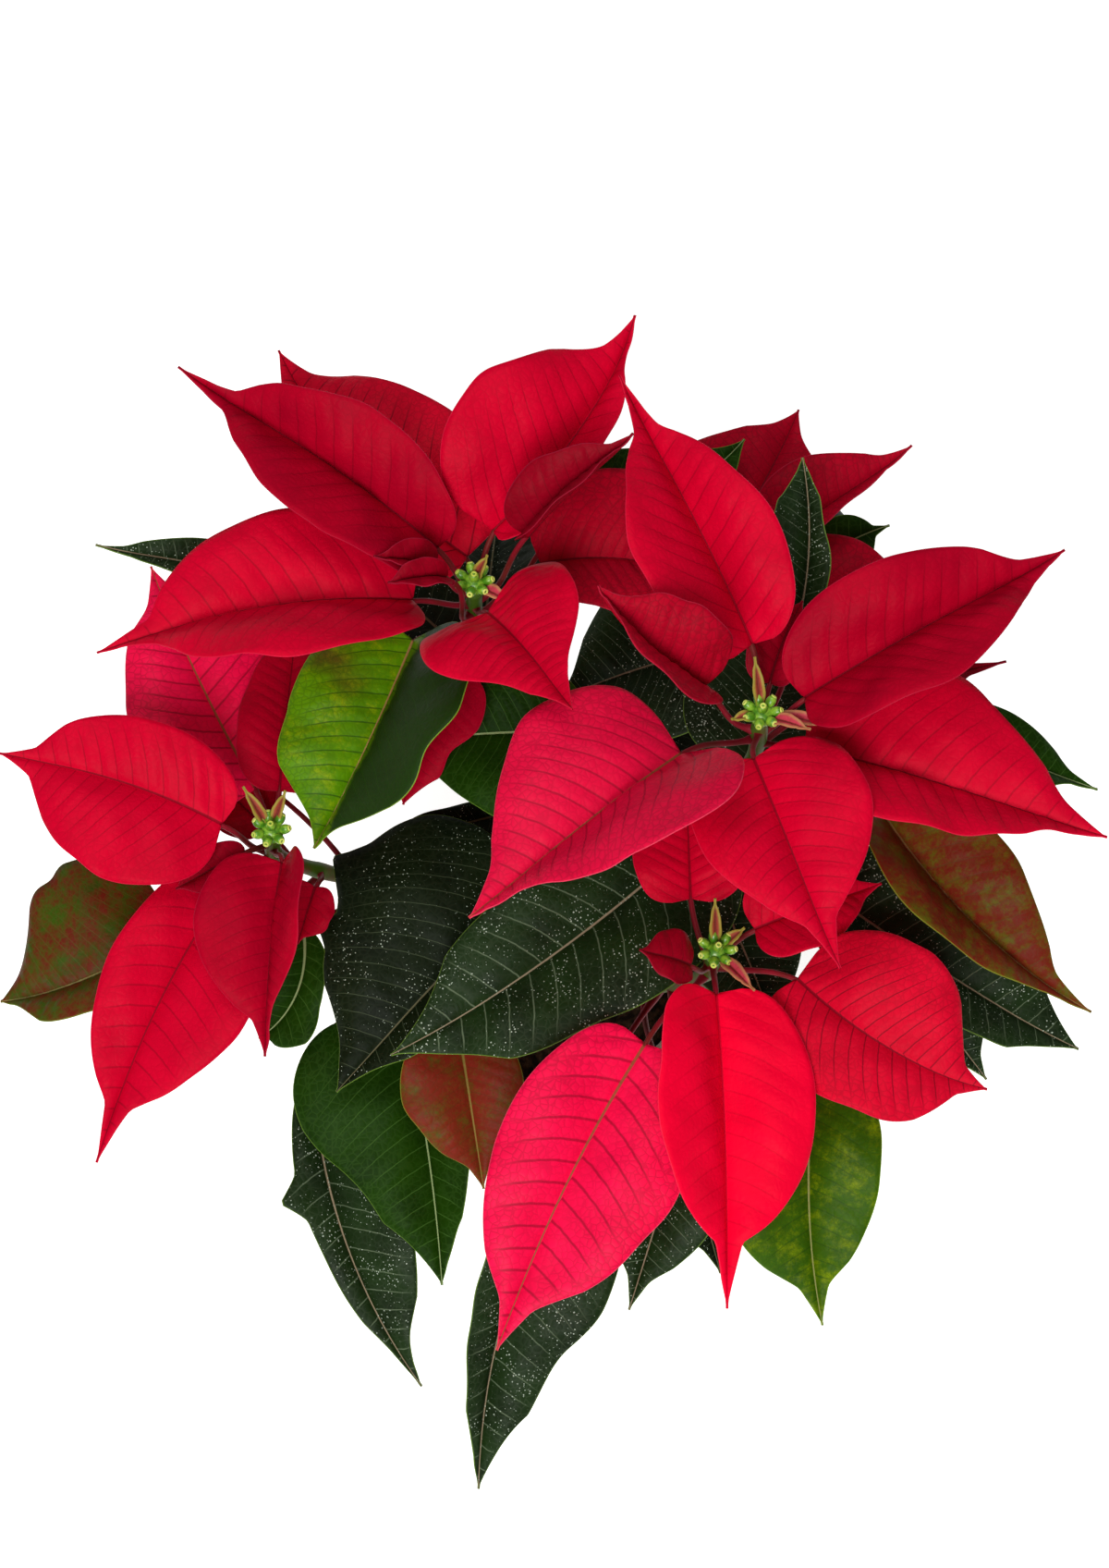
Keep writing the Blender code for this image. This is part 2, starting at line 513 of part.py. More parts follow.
def add_pot(material):
    """The pot, with a band round its rim and drain holes in its floor."""
    wall_top = POT_HEIGHT - POT_RIM_HEIGHT
    profile = [
        (POT_FOOT_RADIUS - POT_EDGE_ROUND, 0.0),
        (POT_FOOT_RADIUS, POT_EDGE_ROUND),
        (POT_WALL_TOP_RADIUS, wall_top),
        (POT_RIM_RADIUS - POT_RIM_TAPER, wall_top + POT_LIP_ROUND),
        (POT_RIM_RADIUS, POT_HEIGHT - POT_EDGE_ROUND),
        (POT_RIM_RADIUS - POT_EDGE_ROUND, POT_HEIGHT),
        (inner_radius(POT_HEIGHT) + POT_LIP_ROUND, POT_HEIGHT),
        (inner_radius(POT_HEIGHT), POT_HEIGHT - POT_LIP_ROUND),
        (inner_radius(POT_FLOOR), POT_FLOOR),
    ]
    pot = turned("pot", profile, POT_SIDES, material)
    for hole in range(DRAIN_HOLES):
        turn = 2 * math.pi * (hole + 0.5) / DRAIN_HOLES
        drill_profile = [(DRAIN_HOLE_RADIUS, -DRILL_EXTRA), (DRAIN_HOLE_RADIUS, POT_FLOOR + DRILL_EXTRA)]
        drill = turned("drain_cutter_%d" % hole, drill_profile, DRAIN_SIDES, material)
        drill.location = Vector((math.cos(turn), math.sin(turn), 0)) * DRAIN_RING_RADIUS * MM
        drill.hide_render = True
        drill.display_type = "WIRE"
        cut = pot.modifiers.new("drain_hole_%d" % hole, "BOOLEAN")
        cut.operation = "DIFFERENCE"
        cut.solver = "EXACT"
        cut.object = drill


def add_soil(material):
    """The soil, which fills the pot and has a plain hole for the trunk."""
    hole_floor = SOIL_HEIGHT - TRUNK_HOLE_DEPTH
    profile = [(TRUNK_HOLE_RADIUS, hole_floor), (TRUNK_HOLE_RADIUS, SOIL_HEIGHT)]
    profile += [(radius, SOIL_HEIGHT) for radius in SOIL_RINGS]
    profile.append((inner_radius(SOIL_HEIGHT) - GAP, SOIL_HEIGHT - SOIL_EDGE_DROP))
    profile.append((inner_radius(POT_FLOOR + GAP) - GAP, POT_FLOOR + GAP))
    soil = turned("soil", profile, POT_SIDES, material)
    for point in soil.data.vertices:
        radius = math.hypot(point.co.x, point.co.y) / MM
        if point.co.z > (SOIL_HEIGHT - 0.5) * MM and radius > TRUNK_HOLE_RADIUS + 1:
            turn = math.atan2(point.co.y, point.co.x)
            bump = math.sin(5 * turn + radius * 0.9) + math.sin(9 * turn - radius * 0.5)
            point.co.z += SOIL_BUMP * 0.5 * bump * MM


def add_trunk(material):
    """The woody stem that stands in the soil and ends where the plant was pinched out."""
    foot = SOIL_HEIGHT - TRUNK_HOLE_DEPTH + GAP
    marks = [(0, 0, foot), (0, 0, 112), (0, 0, 134), (0, 0, TRUNK_TOP)]
    add_tube("trunk", marks, (TRUNK_RADIUS, TRUNK_RADIUS - TRUNK_TAPER), TRUNK_SIDES, TRUNK_STEPS, material)


def build():
    clear_scene()
    glazed = finish("pot_glaze", (0.80, 0.78, 0.74), 0.4)
    earth = finish("soil_earth", (0.05, 0.035, 0.025), 0.95)
    bark = finish("trunk_bark", (0.20, 0.13, 0.08), 0.8)
    leaf_green = finish("leaf_green", (0.03, 0.10, 0.02), 0.5)
    bract_red = finish("bract_red", (0.65, 0.01, 0.03), 0.55)
    flower_green = finish("flower_green", (0.25, 0.42, 0.03), 0.45)
    add_pot(glazed)
    add_soil(earth)
    add_trunk(bark)
    for stem in STEMS:
        add_leafy_stem(stem, leaf_green)
        add_flowers(stem, flower_green)
    for bract in BRACTS:
        add_blade(bract, bract_red)


build()
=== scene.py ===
import math

import bpy
import numpy as np
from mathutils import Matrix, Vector


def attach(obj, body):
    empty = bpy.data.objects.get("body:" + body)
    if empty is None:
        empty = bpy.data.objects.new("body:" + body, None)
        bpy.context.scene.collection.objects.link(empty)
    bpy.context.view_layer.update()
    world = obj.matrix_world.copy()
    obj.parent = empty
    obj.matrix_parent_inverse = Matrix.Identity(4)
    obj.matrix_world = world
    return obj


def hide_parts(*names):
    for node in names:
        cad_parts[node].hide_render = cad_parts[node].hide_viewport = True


# A flowering poinsettia in a plain round pot, seen from above and in front. Z is up, X runs to the
# right and Y to the back. Lengths are in millimetres until MM turns them into metres; only the
# studio's lamps and floor are placed in metres.
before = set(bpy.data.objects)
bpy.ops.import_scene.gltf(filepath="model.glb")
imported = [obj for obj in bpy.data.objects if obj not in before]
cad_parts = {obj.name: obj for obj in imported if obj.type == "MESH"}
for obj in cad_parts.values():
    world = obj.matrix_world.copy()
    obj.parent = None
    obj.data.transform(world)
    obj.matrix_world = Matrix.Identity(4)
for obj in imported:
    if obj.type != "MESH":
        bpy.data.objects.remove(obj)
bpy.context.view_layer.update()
MM = 0.001

# Camera, light and floor

CAMERA_AIM = (0, 0, 280)
CAMERA_DISTANCE = 1150
CAMERA_SLOPE = 66
CAMERA_LENS = 73.3
CAMERA_SENSOR = 36
LIGHT_AIM = (0, 0, 0.25)
FLOOR_REACH = 4
# Name, place, side and power of each softbox: one in front and a little to the left, one overhead
SOFTBOXES = (
    ("key_softbox", (-0.3, -1.45, 1.85), 0.9, 42),
    ("top_softbox", (-0.2, 0.3, 2.2), 0.9, 12),
)
ROOM_GLOW = 0.3


def place_camera():
    """The camera looks down at the flower heads from in front, at a slope above the horizon."""
    aim = Vector(CAMERA_AIM)
    slope = math.radians(CAMERA_SLOPE)
    eye = aim + Vector((0, -math.cos(slope), math.sin(slope))) * CAMERA_DISTANCE
    camera = bpy.data.objects.new("camera", bpy.data.cameras.new("camera"))
    camera.data.lens = CAMERA_LENS
    camera.data.sensor_width = CAMERA_SENSOR
    camera.location = eye * MM
    camera.rotation_euler = (aim - eye).to_track_quat("-Z", "Y").to_euler()
    bpy.context.scene.collection.objects.link(camera)
    bpy.context.scene.camera = camera


def light_studio():
    """The softboxes, each square and pointed at the plant, and a dim pale room."""
    for name, place, side, power in SOFTBOXES:
        lamp = bpy.data.lights.new(name, "AREA")
        lamp.shape = "SQUARE"
        lamp.size = side
        lamp.energy = power
        holder = bpy.data.objects.new(name, lamp)
        holder.location = place
        holder.rotation_euler = (Vector(LIGHT_AIM) - Vector(place)).to_track_quat("-Z", "Y").to_euler()
        bpy.context.scene.collection.objects.link(holder)
    room = bpy.data.worlds.new("studio")
    room.use_nodes = True
    room.node_tree.nodes["Background"].inputs["Color"].default_value = (1.0, 1.0, 1.0, 1.0)
    room.node_tree.nodes["Background"].inputs["Strength"].default_value = ROOM_GLOW
    bpy.context.scene.world = room
    bpy.context.scene.view_settings.view_transform = "Standard"


def lay_floor():
    """A square of pale paper that glows a little, like a light table."""
    reach = FLOOR_REACH
    mesh = bpy.data.meshes.new("studio_floor")
    mesh.from_pydata([(-reach, -reach, 0), (reach, -reach, 0), (reach, reach, 0), (-reach, reach, 0)], [],
                     [(0, 1, 2, 3)])
    floor = bpy.data.objects.new("studio_floor", mesh)
    bpy.context.scene.collection.objects.link(floor)
    paper, _, shader = start_material("pale_light_table", 0.9, 1.45, 0.1)
    shader.inputs["Base Color"].default_value = paint("#F4F3F1")
    shader.inputs["Emission Color"].default_value = paint("#FFFFFF")
    shader.inputs["Emission Strength"].default_value = 0.6
    mesh.materials.append(paper)


# Materials


def paint(code):
    """An sRGB hex colour as the linear colour that a shader takes."""
    channels = [int(code[place:place + 2], 16) / 255 for place in (1, 3, 5)]
    return tuple(c / 12.92 if c <= 0.04045 else ((c + 0.055) / 1.055) ** 2.4 for c in channels) + (1.0,)


def add_node(tree, kind, settings=None, inputs=None):
    """A node with its settings, and each input either linked or set."""
    node = tree.nodes.new(kind)
    for key, value in (settings or {}).items():
        setattr(node, key, value)
    for key, value in (inputs or {}).items():
        if isinstance(value, bpy.types.NodeSocket):
            tree.links.new(value, node.inputs[key])
        else:
            node.inputs[key].default_value = value
    return node


def start_material(name, roughness, ior, specular):
    """A material whose Principled shader has its even values set."""
    material = bpy.data.materials.new(name)
    material.use_nodes = True
    shader = material.node_tree.nodes["Principled BSDF"]
    shader.inputs["Roughness"].default_value = roughness
    shader.inputs["IOR"].default_value = ior
    shader.inputs["Specular IOR Level"].default_value = specular
    return material, material.node_tree, shader


def blend(tree, share, first, second):
    """Two colours, each a socket or a hex code, mixed by a share."""
    first, second = (paint(end) if isinstance(end, str) else end for end in (first, second))
    return add_node(tree, "ShaderNodeMix", {"data_type": "RGBA"}, {0: share, 6: first, 7: second}).outputs[2]


def carry(tree, value, start, end, low=0.0, high=1.0, eased=True):
    """A value carried from the range start to end into the range low to high, eased or straight."""
    node = add_node(tree, "ShaderNodeMapRange", {"interpolation_type": "SMOOTHSTEP" if eased else "LINEAR"},
                    {"Value": value, "From Min": start, "From Max": end, "To Min": low, "To Max": high})
    return node.outputs[0]


def calculate(tree, operation, *values):
    """The result of one math step on sockets or numbers."""
    return add_node(tree, "ShaderNodeMath", {"operation": operation}, dict(enumerate(values))).outputs[0]


def add_noise(tree, place, scale, detail=2.0, roughness=0.5):
    """Soft noise at a place."""
    return add_node(tree, "ShaderNodeTexNoise", inputs={"Vector": place, "Scale": scale, "Detail": detail,
                                                        "Roughness": roughness})


def add_cells(tree, place, scale, feature="F1"):
    """Cells scattered at a place, as the distance to a cell's middle or to its edge."""
    return add_node(tree, "ShaderNodeTexVoronoi", {"feature": feature}, {"Vector": place, "Scale": scale})


def split(tree, vector):
    """The parts of a vector or a colour."""
    return add_node(tree, "ShaderNodeSeparateXYZ", inputs={0: vector}).outputs


def surface_place(tree):
    """The place on the piece itself, in metres."""
    return add_node(tree, "ShaderNodeTexCoord").outputs["Object"]


def finish_surface(tree, shader, colour, height, strength, depth):
    """Give a shader its colour, and relief of a strength and a depth in metres."""
    bump = add_node(tree, "ShaderNodeBump",
                    inputs={"Strength": strength, "Distance": depth, "Height": height})
    tree.links.new(colour, shader.inputs["Base Color"])
    tree.links.new(bump.outputs["Normal"], shader.inputs["Normal"])


def scale_for(size_mm):
    """The texture scale that gives features of a size, on coordinates of 100 mm a unit."""
    return 100.0 / size_mm


# On a blade's own map, 1 is 100 mm: the border of a leaf's half with painted shade, the middle and reach of
# its stain, half the midrib's width at the stalk and at the tip, and the rim from its full strength to its
# end
HALF_BORDER = (-0.06, -0.01)
STAIN_PLACE = (0.24, 0.24, 0.0)
STAIN_REACH = (0.03, 0.2)
MIDRIB_TAPER = (0.0075, 0.002)
RIM = (0.003, 0.012)
PATCH_SIZE = 25
MOTTLE_SIZE = 11
GRAIN_SIZE = 0.7
NET_SIZE = 2.6
NET_BEND_SIZE = 4
SPECK_SPACING = 1.0
SPECK_PATCH_SIZE = 20


def make_blade_finish(name, body, shade, vein, edge, net, line, specular, midrib=None, blotch=None,
                      blotch_share=0.0, specks=0.0, vein_width=0.05, painted_shade_half=None, stain=None,
                      rim_width=0.3):
    """The skin of a leaf or bract: waxy cells over a net of veins.

    The soft relief between the veins catches the light, the main side veins read as fine lines, the
    net of small veins breaks the colour up, and the margin has a thin paler rim.
    """
    material, tree, shader = start_material(name, 0.5, 1.42, specular)
    size, veins, blade = (add_node(tree, "ShaderNodeUVMap", {"uv_map": key}).outputs["UV"]
                          for key in ("size", "veins", "blade"))
    size_parts, vein_parts, blade_parts = split(tree, size), split(tree, veins), split(tree, blade)

    # Patches wander between the two tones of the blade
    patches = add_noise(tree, size, scale_for(PATCH_SIZE), 3.0).outputs["Fac"]
    tone = carry(tree, patches, 0.35, 0.7)
    colour = blend(tree, tone, body, shade)

    # Cell grain, drawn coarser than the real cells so that it shows
    grain = add_noise(tree, size, scale_for(GRAIN_SIZE)).outputs["Fac"]

    if blotch:
        # Mottling with fine grain in it
        spots = add_noise(tree, size, scale_for(MOTTLE_SIZE), 9.0, 0.78).outputs["Fac"]
        cover = carry(tree, spots, 0.54 - blotch_share * 0.3, 0.8 - blotch_share * 0.3)
        colour = blend(tree, cover, colour, blotch)

    if painted_shade_half:
        # Painted shade: the left half is darker, and the border wanders along the midrib
        border = calculate(tree, "MULTIPLY_ADD", patches, 0.05, size_parts["X"])
        colour = blend(tree, carry(tree, border, *HALF_BORDER, 1.0, 0.0), colour, painted_shade_half)

    if stain:
        # One soft stain near the base of the right half
        middle = add_node(tree, "ShaderNodeVectorMath", {"operation": "DISTANCE"}, {0: size, 1: STAIN_PLACE})
        fade = carry(tree, middle.outputs["Value"], *STAIN_REACH, 0.75, 0.0)
        colour = blend(tree, calculate(tree, "MULTIPLY", fade, tone), colour, stain)

    # The net of small veins, fainter near the midrib
    bend = add_noise(tree, size, scale_for(NET_BEND_SIZE), 1.0)
    bent = add_node(tree, "ShaderNodeVectorMath", {"operation": "MULTIPLY_ADD"},
                    {0: bend.outputs["Color"], 1: (0.012, 0.012, 0.0), 2: size})
    cells = add_cells(tree, bent.outputs[0], scale_for(NET_SIZE), "DISTANCE_TO_EDGE").outputs["Distance"]
    mesh_line = carry(tree, cells, 0.0, 0.14, net, 0.0)
    outward = carry(tree, blade_parts["X"], 0.1, 0.8, 0.35, 1.0, eased=False)
    mesh_line = calculate(tree, "MULTIPLY", mesh_line, outward)

    # The side veins run out from the midrib, one for each whole number of the vein coordinate, and
    # fade towards the margin
    wobble = calculate(tree, "MULTIPLY_ADD", bend.outputs["Fac"], 0.10, vein_parts["X"])
    to_vein = calculate(tree, "PINGPONG", wobble, 0.5)
    side_line = carry(tree, to_vein, vein_width * 0.3, vein_width * 1.5, line, 0.0)
    margin_fade = carry(tree, blade_parts["X"], 0.6, 1.0, 1.0, 0.0, eased=False)
    side_line = calculate(tree, "MULTIPLY", side_line, margin_fade)
    lines = calculate(tree, "MAXIMUM", mesh_line, side_line)
    colour = blend(tree, lines, colour, vein)

    # The midrib thins from the stalk to the tip
    from_middle = calculate(tree, "ABSOLUTE", size_parts["X"])
    taper = carry(tree, blade_parts["Y"], 0.0, 1.0, *MIDRIB_TAPER, eased=False)
    rib = carry(tree, calculate(tree, "DIVIDE", from_middle, taper), 0.55, 1.0, 0.85, 0.0)
    colour = blend(tree, rib, colour, midrib or vein)

    if specks:
        # Pale specks of many sizes up to half a millimetre across, thicker in some patches
        dust = add_cells(tree, size, scale_for(SPECK_SPACING))
        chance = split(tree, dust.outputs["Color"])["X"]
        dust_patch = add_noise(tree, size, scale_for(SPECK_PATCH_SIZE)).outputs["Fac"]
        reach = carry(tree, dust_patch, 0.3, 0.65, 0.06 * specks, 0.34 * specks)
        reach = calculate(tree, "MULTIPLY", reach, chance)
        speck = calculate(tree, "LESS_THAN", dust.outputs["Distance"], reach)
        colour = blend(tree, speck, colour, "#A2AE9C")

    rim = carry(tree, vein_parts["Y"], RIM[0] * rim_width, RIM[1] * rim_width, 0.55, 0.0)
    colour = blend(tree, rim, colour, edge)

    # Relief: cells puff up between the veins, with fine grain over them and grooves along the veins
    puff = carry(tree, cells, 0.0, 0.4)
    relief = calculate(tree, "MULTIPLY_ADD", grain, 0.35, puff)
    groove = calculate(tree, "MULTIPLY_ADD", lines, -0.8, relief)
    finish_surface(tree, shader, colour, groove, 0.4, 0.00016)
    return material


def make_stalk_finish(name, colour, other):
    """Smooth skin of a leaf stalk, a green stem or a flower cup's mouth, with a few darker patches."""
    material, tree, shader = start_material(name, 0.5, 1.42, 0.15)
    place = surface_place(tree)
    patches = add_noise(tree, place, 90.0, 4.0).outputs["Fac"]
    mixed = blend(tree, carry(tree, patches, 0.4, 0.65), colour, other)
    finish_surface(tree, shader, mixed, add_noise(tree, place, 900.0).outputs["Fac"], 0.4, 0.00015)
    return material


def make_bark_finish():
    """Young woody stem: grey-brown bark with pale corky dots and fine lengthwise cracks."""
    material, tree, shader = start_material("woody_bark", 0.8, 1.45, 0.3)
    place = surface_place(tree)
    drawn = add_node(tree, "ShaderNodeMapping", inputs={"Vector": place, "Scale": (1.0, 1.0, 0.25)})
    cracks = add_noise(tree, drawn.outputs[0], 700.0, 5.0).outputs["Fac"]
    dots = add_cells(tree, place, 330.0).outputs["Distance"]
    bark = blend(tree, cracks, "#3E3324", "#8B7656")
    dotted = blend(tree, carry(tree, dots, 0.16, 0.26, 0.7, 0.0), bark, "#B7A685")
    finish_surface(tree, shader, dotted, cracks, 0.8, 0.0005)
    return material


def make_cup_finish():
    """Flower cup skin: glossy green, paler and yellower in patches."""
    material, tree, shader = start_material("flower_cup_skin", 0.3, 1.45, 0.5)
    patches = add_noise(tree, surface_place(tree), 420.0, 3.0).outputs["Fac"]
    mixed = blend(tree, carry(tree, patches, 0.38, 0.66), "#3F7410", "#7FA82C")
    finish_surface(tree, shader, mixed, patches, 0.3, 0.0002)
    return material


def make_glaze_finish():
    """Stoneware with a satin off-white glaze: faint iron specks and slight orange-peel relief."""
    material, tree, shader = start_material("satin_glaze", 0.32, 1.5, 0.5)
    place = surface_place(tree)
    cloud = add_noise(tree, place, 22.0, 3.0).outputs["Fac"]
    specks = add_cells(tree, place, 170.0).outputs["Distance"]
    glaze = blend(tree, cloud, "#EDE8DD", "#DDD6C8")
    specked = blend(tree, carry(tree, specks, 0.05, 0.1, 0.35, 0.0), glaze, "#8A755A")
    finish_surface(tree, shader, specked, add_noise(tree, place, 260.0, 1.0).outputs["Fac"], 0.25, 0.0003)
    return material


def make_peat_finish():
    """Moist peat potting soil: near-black crumbs with brown fibre."""
    material, tree, shader = start_material("peat_soil", 0.95, 1.4, 0.2)
    place = surface_place(tree)
    crumbs = add_cells(tree, place, 380.0).outputs["Distance"]
    fibre = add_noise(tree, place, 300.0, 6.0).outputs["Fac"]
    mixed = blend(tree, carry(tree, fibre, 0.4, 0.75, eased=False), "#1E1610", "#5A4330")
    finish_surface(tree, shader, mixed, calculate(tree, "ADD", crumbs, fibre), 0.9, 0.0012)
    return material


BRACT_RED = make_blade_finish("bract_skin_red", "#C20026", "#B40022", "#740416", "#C8203E",
                              net=0.16, line=0.5, specular=0.05)
# Deeper red skin: partly the bracts' own colour, partly painted shade on bracts towards the back and low down
BRACT_CRIMSON_AND_SHADE = make_blade_finish("bract_skin_crimson", "#A2001E", "#92001C", "#600412", "#A81C36",
                                  net=0.14, line=0.4, specular=0.04)
BRACT_BRIGHT = make_blade_finish("bract_skin_bright", "#E2002C", "#D60028", "#A8001C", "#E02848",
                                 net=0.06, line=0.35, specular=0.05)
# Pinker, brighter red skin: partly the bracts' own colour, partly painted sheen and light
BRACT_PINK_AND_SHEEN = make_blade_finish("bract_skin_pink", "#E60A44", "#DA063C", "#8A0824", "#E04C66",
                               net=0.42, line=0.75, specular=0.12, midrib="#7A4A28", vein_width=0.07)
# Painted shade: a darker copy of the pink skin, for one bract that is too brightly lit
BRACT_SHADED_PINK = make_blade_finish("bract_skin_rose", "#D00A38", "#C80634", "#8A0824", "#D84860",
                               net=0.42, line=0.75, specular=0.1, midrib="#7A4A28", vein_width=0.07)
BRACT_VEINED = make_blade_finish("bract_skin_veined", "#C80628", "#B80422", "#6E0818", "#C42844",
                                 net=0.3, line=0.8, specular=0.05)
# Dimmer red skin: partly the bracts' own colour, partly painted shade on bracts at the back
BRACT_DIM_AND_SHADE = make_blade_finish("bract_skin_dim", "#A60420", "#96021C", "#640A16", "#B02840",
                              net=0.45, line=0.5, specular=0.04)
BRACT_DEEP = make_blade_finish("bract_skin_deep", "#880018", "#780214", "#500810", "#962038",
                               net=0.2, line=0.4, specular=0.05)
LEAF_DARK = make_blade_finish("leaf_skin_dark", "#172A0C", "#111D0A", "#78886A", "#6F9030",
                              net=0.05, line=0.4, specular=0.12, midrib="#8A7A62", specks=1.0,
                              vein_width=0.03)
LEAF_BLACK = make_blade_finish("leaf_skin_black_green", "#0E1806", "#0A1206", "#5A664A", "#6F9030",
                               net=0.05, line=0.3, specular=0.08, midrib="#5E5A40", specks=0.8,
                               vein_width=0.025)
LEAF_GREEN = make_blade_finish("leaf_skin_green", "#183402", "#102602", "#4E7430", "#6C9030",
                               net=0.1, line=0.35, specular=0.05, midrib="#8A9A68", vein_width=0.03)
LEAF_LIGHT = make_blade_finish("leaf_skin_light", "#345602", "#2A4A02", "#203C06", "#93B83A",
                               net=0.25, line=0.5, specular=0.1, midrib="#8A8A50", blotch="#6E8200",
                               blotch_share=0.28)
# The darker left half of this leaf is painted shade
LEAF_HALF_SHADED = make_blade_finish("leaf_skin_two_toned", "#548400", "#426E00", "#1C3A06", "#93B83A",
                                net=0.3, line=0.7, specular=0.12, midrib="#9A6E48", blotch="#869A04",
                                blotch_share=0.25, painted_shade_half="#1A300A", stain="#5A2A18")
LEAF_TURNING = make_blade_finish("leaf_skin_turning", "#304C06", "#2A3C0A", "#4E5222", "#7A9030",
                                 net=0.2, line=0.35, specular=0.1, midrib="#7F7848",
                                 blotch="#5C1A0C", blotch_share=0.6)
LEAF_REDDENED = make_blade_finish("leaf_skin_reddened", "#545C0A", "#4A4E10", "#4A3A1A", "#7A8A28",
                                  net=0.2, line=0.35, specular=0.08, midrib="#7A5A34",
                                  blotch="#661C0E", blotch_share=0.78)
LEAF_RUSSET = make_blade_finish("leaf_skin_russet", "#741E12", "#62240E", "#4A2A10", "#7A8A28",
                                net=0.3, line=0.4, specular=0.1, midrib="#7A6A30",
                                blotch="#454C10", blotch_share=0.32)
STALK_RED = make_stalk_finish("red_leaf_stalk", "#7A1020", "#5E1A16")
STALK_GREEN = make_stalk_finish("green_stem_skin", "#3F5C12", "#5A401C")
WOODY_BARK = make_bark_finish()
FLOWER_CUP = make_cup_finish()
CUP_MOUTH = make_stalk_finish("cup_mouth", "#C4CC66", "#A8B848")
BRACTLET_SKIN = make_blade_finish("bractlet_skin", "#96402E", "#A85058", "#6A2A20", "#8AA030",
                                  net=0.2, line=0.3, specular=0.2, rim_width=1.2)
BRACTLET_ROSY = make_blade_finish("bractlet_skin_rosy", "#B83A4A", "#A82C3C", "#7A2A24", "#A88A50",
                                  net=0.3, line=0.4, specular=0.2, rim_width=1.2)
SATIN_GLAZE = make_glaze_finish()
PEAT_SOIL = make_peat_finish()

# Blades

STEM_FOOT_RADIUS = 3.3
STEM_TOP_RADIUS = 2.6
STEMS = {
    "a": [(-2.3, 5.2, 146), (-5, 12, 147), (-14, 32, 180), (-24, 54, 236), (-29, 64, 282), (-29, 65, 306)],
    "b": [(5.9, 0.4, 140), (13, 1, 141), (36, 3, 170), (61, 5, 230), (71, 6, 290), (72, 6, 321)],
    "c": [(-5.8, -0.9, 134), (-13, -3, 135), (-38, -6, 162), (-68, -9, 204), (-94, -15, 240),
          (-102, -17, 256), (-102, -17, 271)],
    "d": [(4.1, -4.3, 128), (9, -10, 129), (28, -31, 162), (45, -50, 208), (55, -60, 246), (57, -61, 266)],
    "e": [(3.1, 7.3, 150), (10, 22, 164), (26, 46, 194), (46, 68, 222), (60, 88, 246), (63, 91, 260)],
}
STEM_STEPS = 70
STEM_SIDES = 18
STEM_SWELLING = 0.35
STEM_SWELLING_HALF = 2.5

# The outline of a blade
NECK_HALF = 1.5
TIP_HALF = 0.45
BASE_ROUND = 0.4
TIP_SHARE = 0.17
TIP_CURVE = 1.15
TIP_FADE = (0.5, 0.25)
HOOK_START = 0.7
BASE_SWEEP = 0.32
SWEEP_END = 0.35
LOBE_CURVE = 1.3
# Uneven margin: height, waves along the blade and how often its phase turns
MARGIN_RIPPLES = ((0.012, 9, 1), (0.008, 23, 2))

# The relief of a blade: crown across each half, waves along the margin, swelling between the side
# veins, and lumps, each with its direction, span and height
CROWN = 0.10
FLAT_HALF = 3.0
WAVE = 0.9
WAVES_PER_BLADE = 2.5
QUILT = 0.6
LUMPS = ((0.7, 34.0, 0.5), (2.1, 23.0, 0.35), (1.3, 15.0, 0.18), (2.7, 47.0, 0.5))
RIB_GROOVE = 0.35
RIB_GROOVE_HALF = 1.1
BLADE_SKIN = 0.22
EDGE_THINNING = 0.45
KEEL_DEPTH = 0.9
KEEL_HALF = 1.3
FULL_SIZE = 60

# Side veins: least spacing, how many fit on a long blade, their slant and bend, and how far the left
# half's veins sit from the right half's
VEIN_SPACING = 4.6
VEINS_PER_BLADE = 14.5
VEIN_SLANT = 0.32
VEIN_BEND = 0.009
VEIN_OFFSET = 0.37

# Points along and across a blade in full view, under other leaves and on a bractlet, and how far
# they crowd to the base and the midrib
FULL_GRID = (72, 37)
HIDDEN_GRID = (44, 21)
BRACTLET_GRID = (28, 15)
ROW_CROWDING = 1.04
COLUMN_CROWDING = 1.3

# A blade's stalk, with its flare at the stem
STALK_STEPS = 16
STALK_SIDES = 10
STALK_RADIUS = 1.2
STALK_TAPER = 0.25
STALK_FLARE = 1.1
STALK_FLARE_SHARE = 0.09
STALK_END_RADIUS = 0.3
STALK_PULL = 0.35
NECK_LENGTH = 4.0
NECK_DROP = 0.9

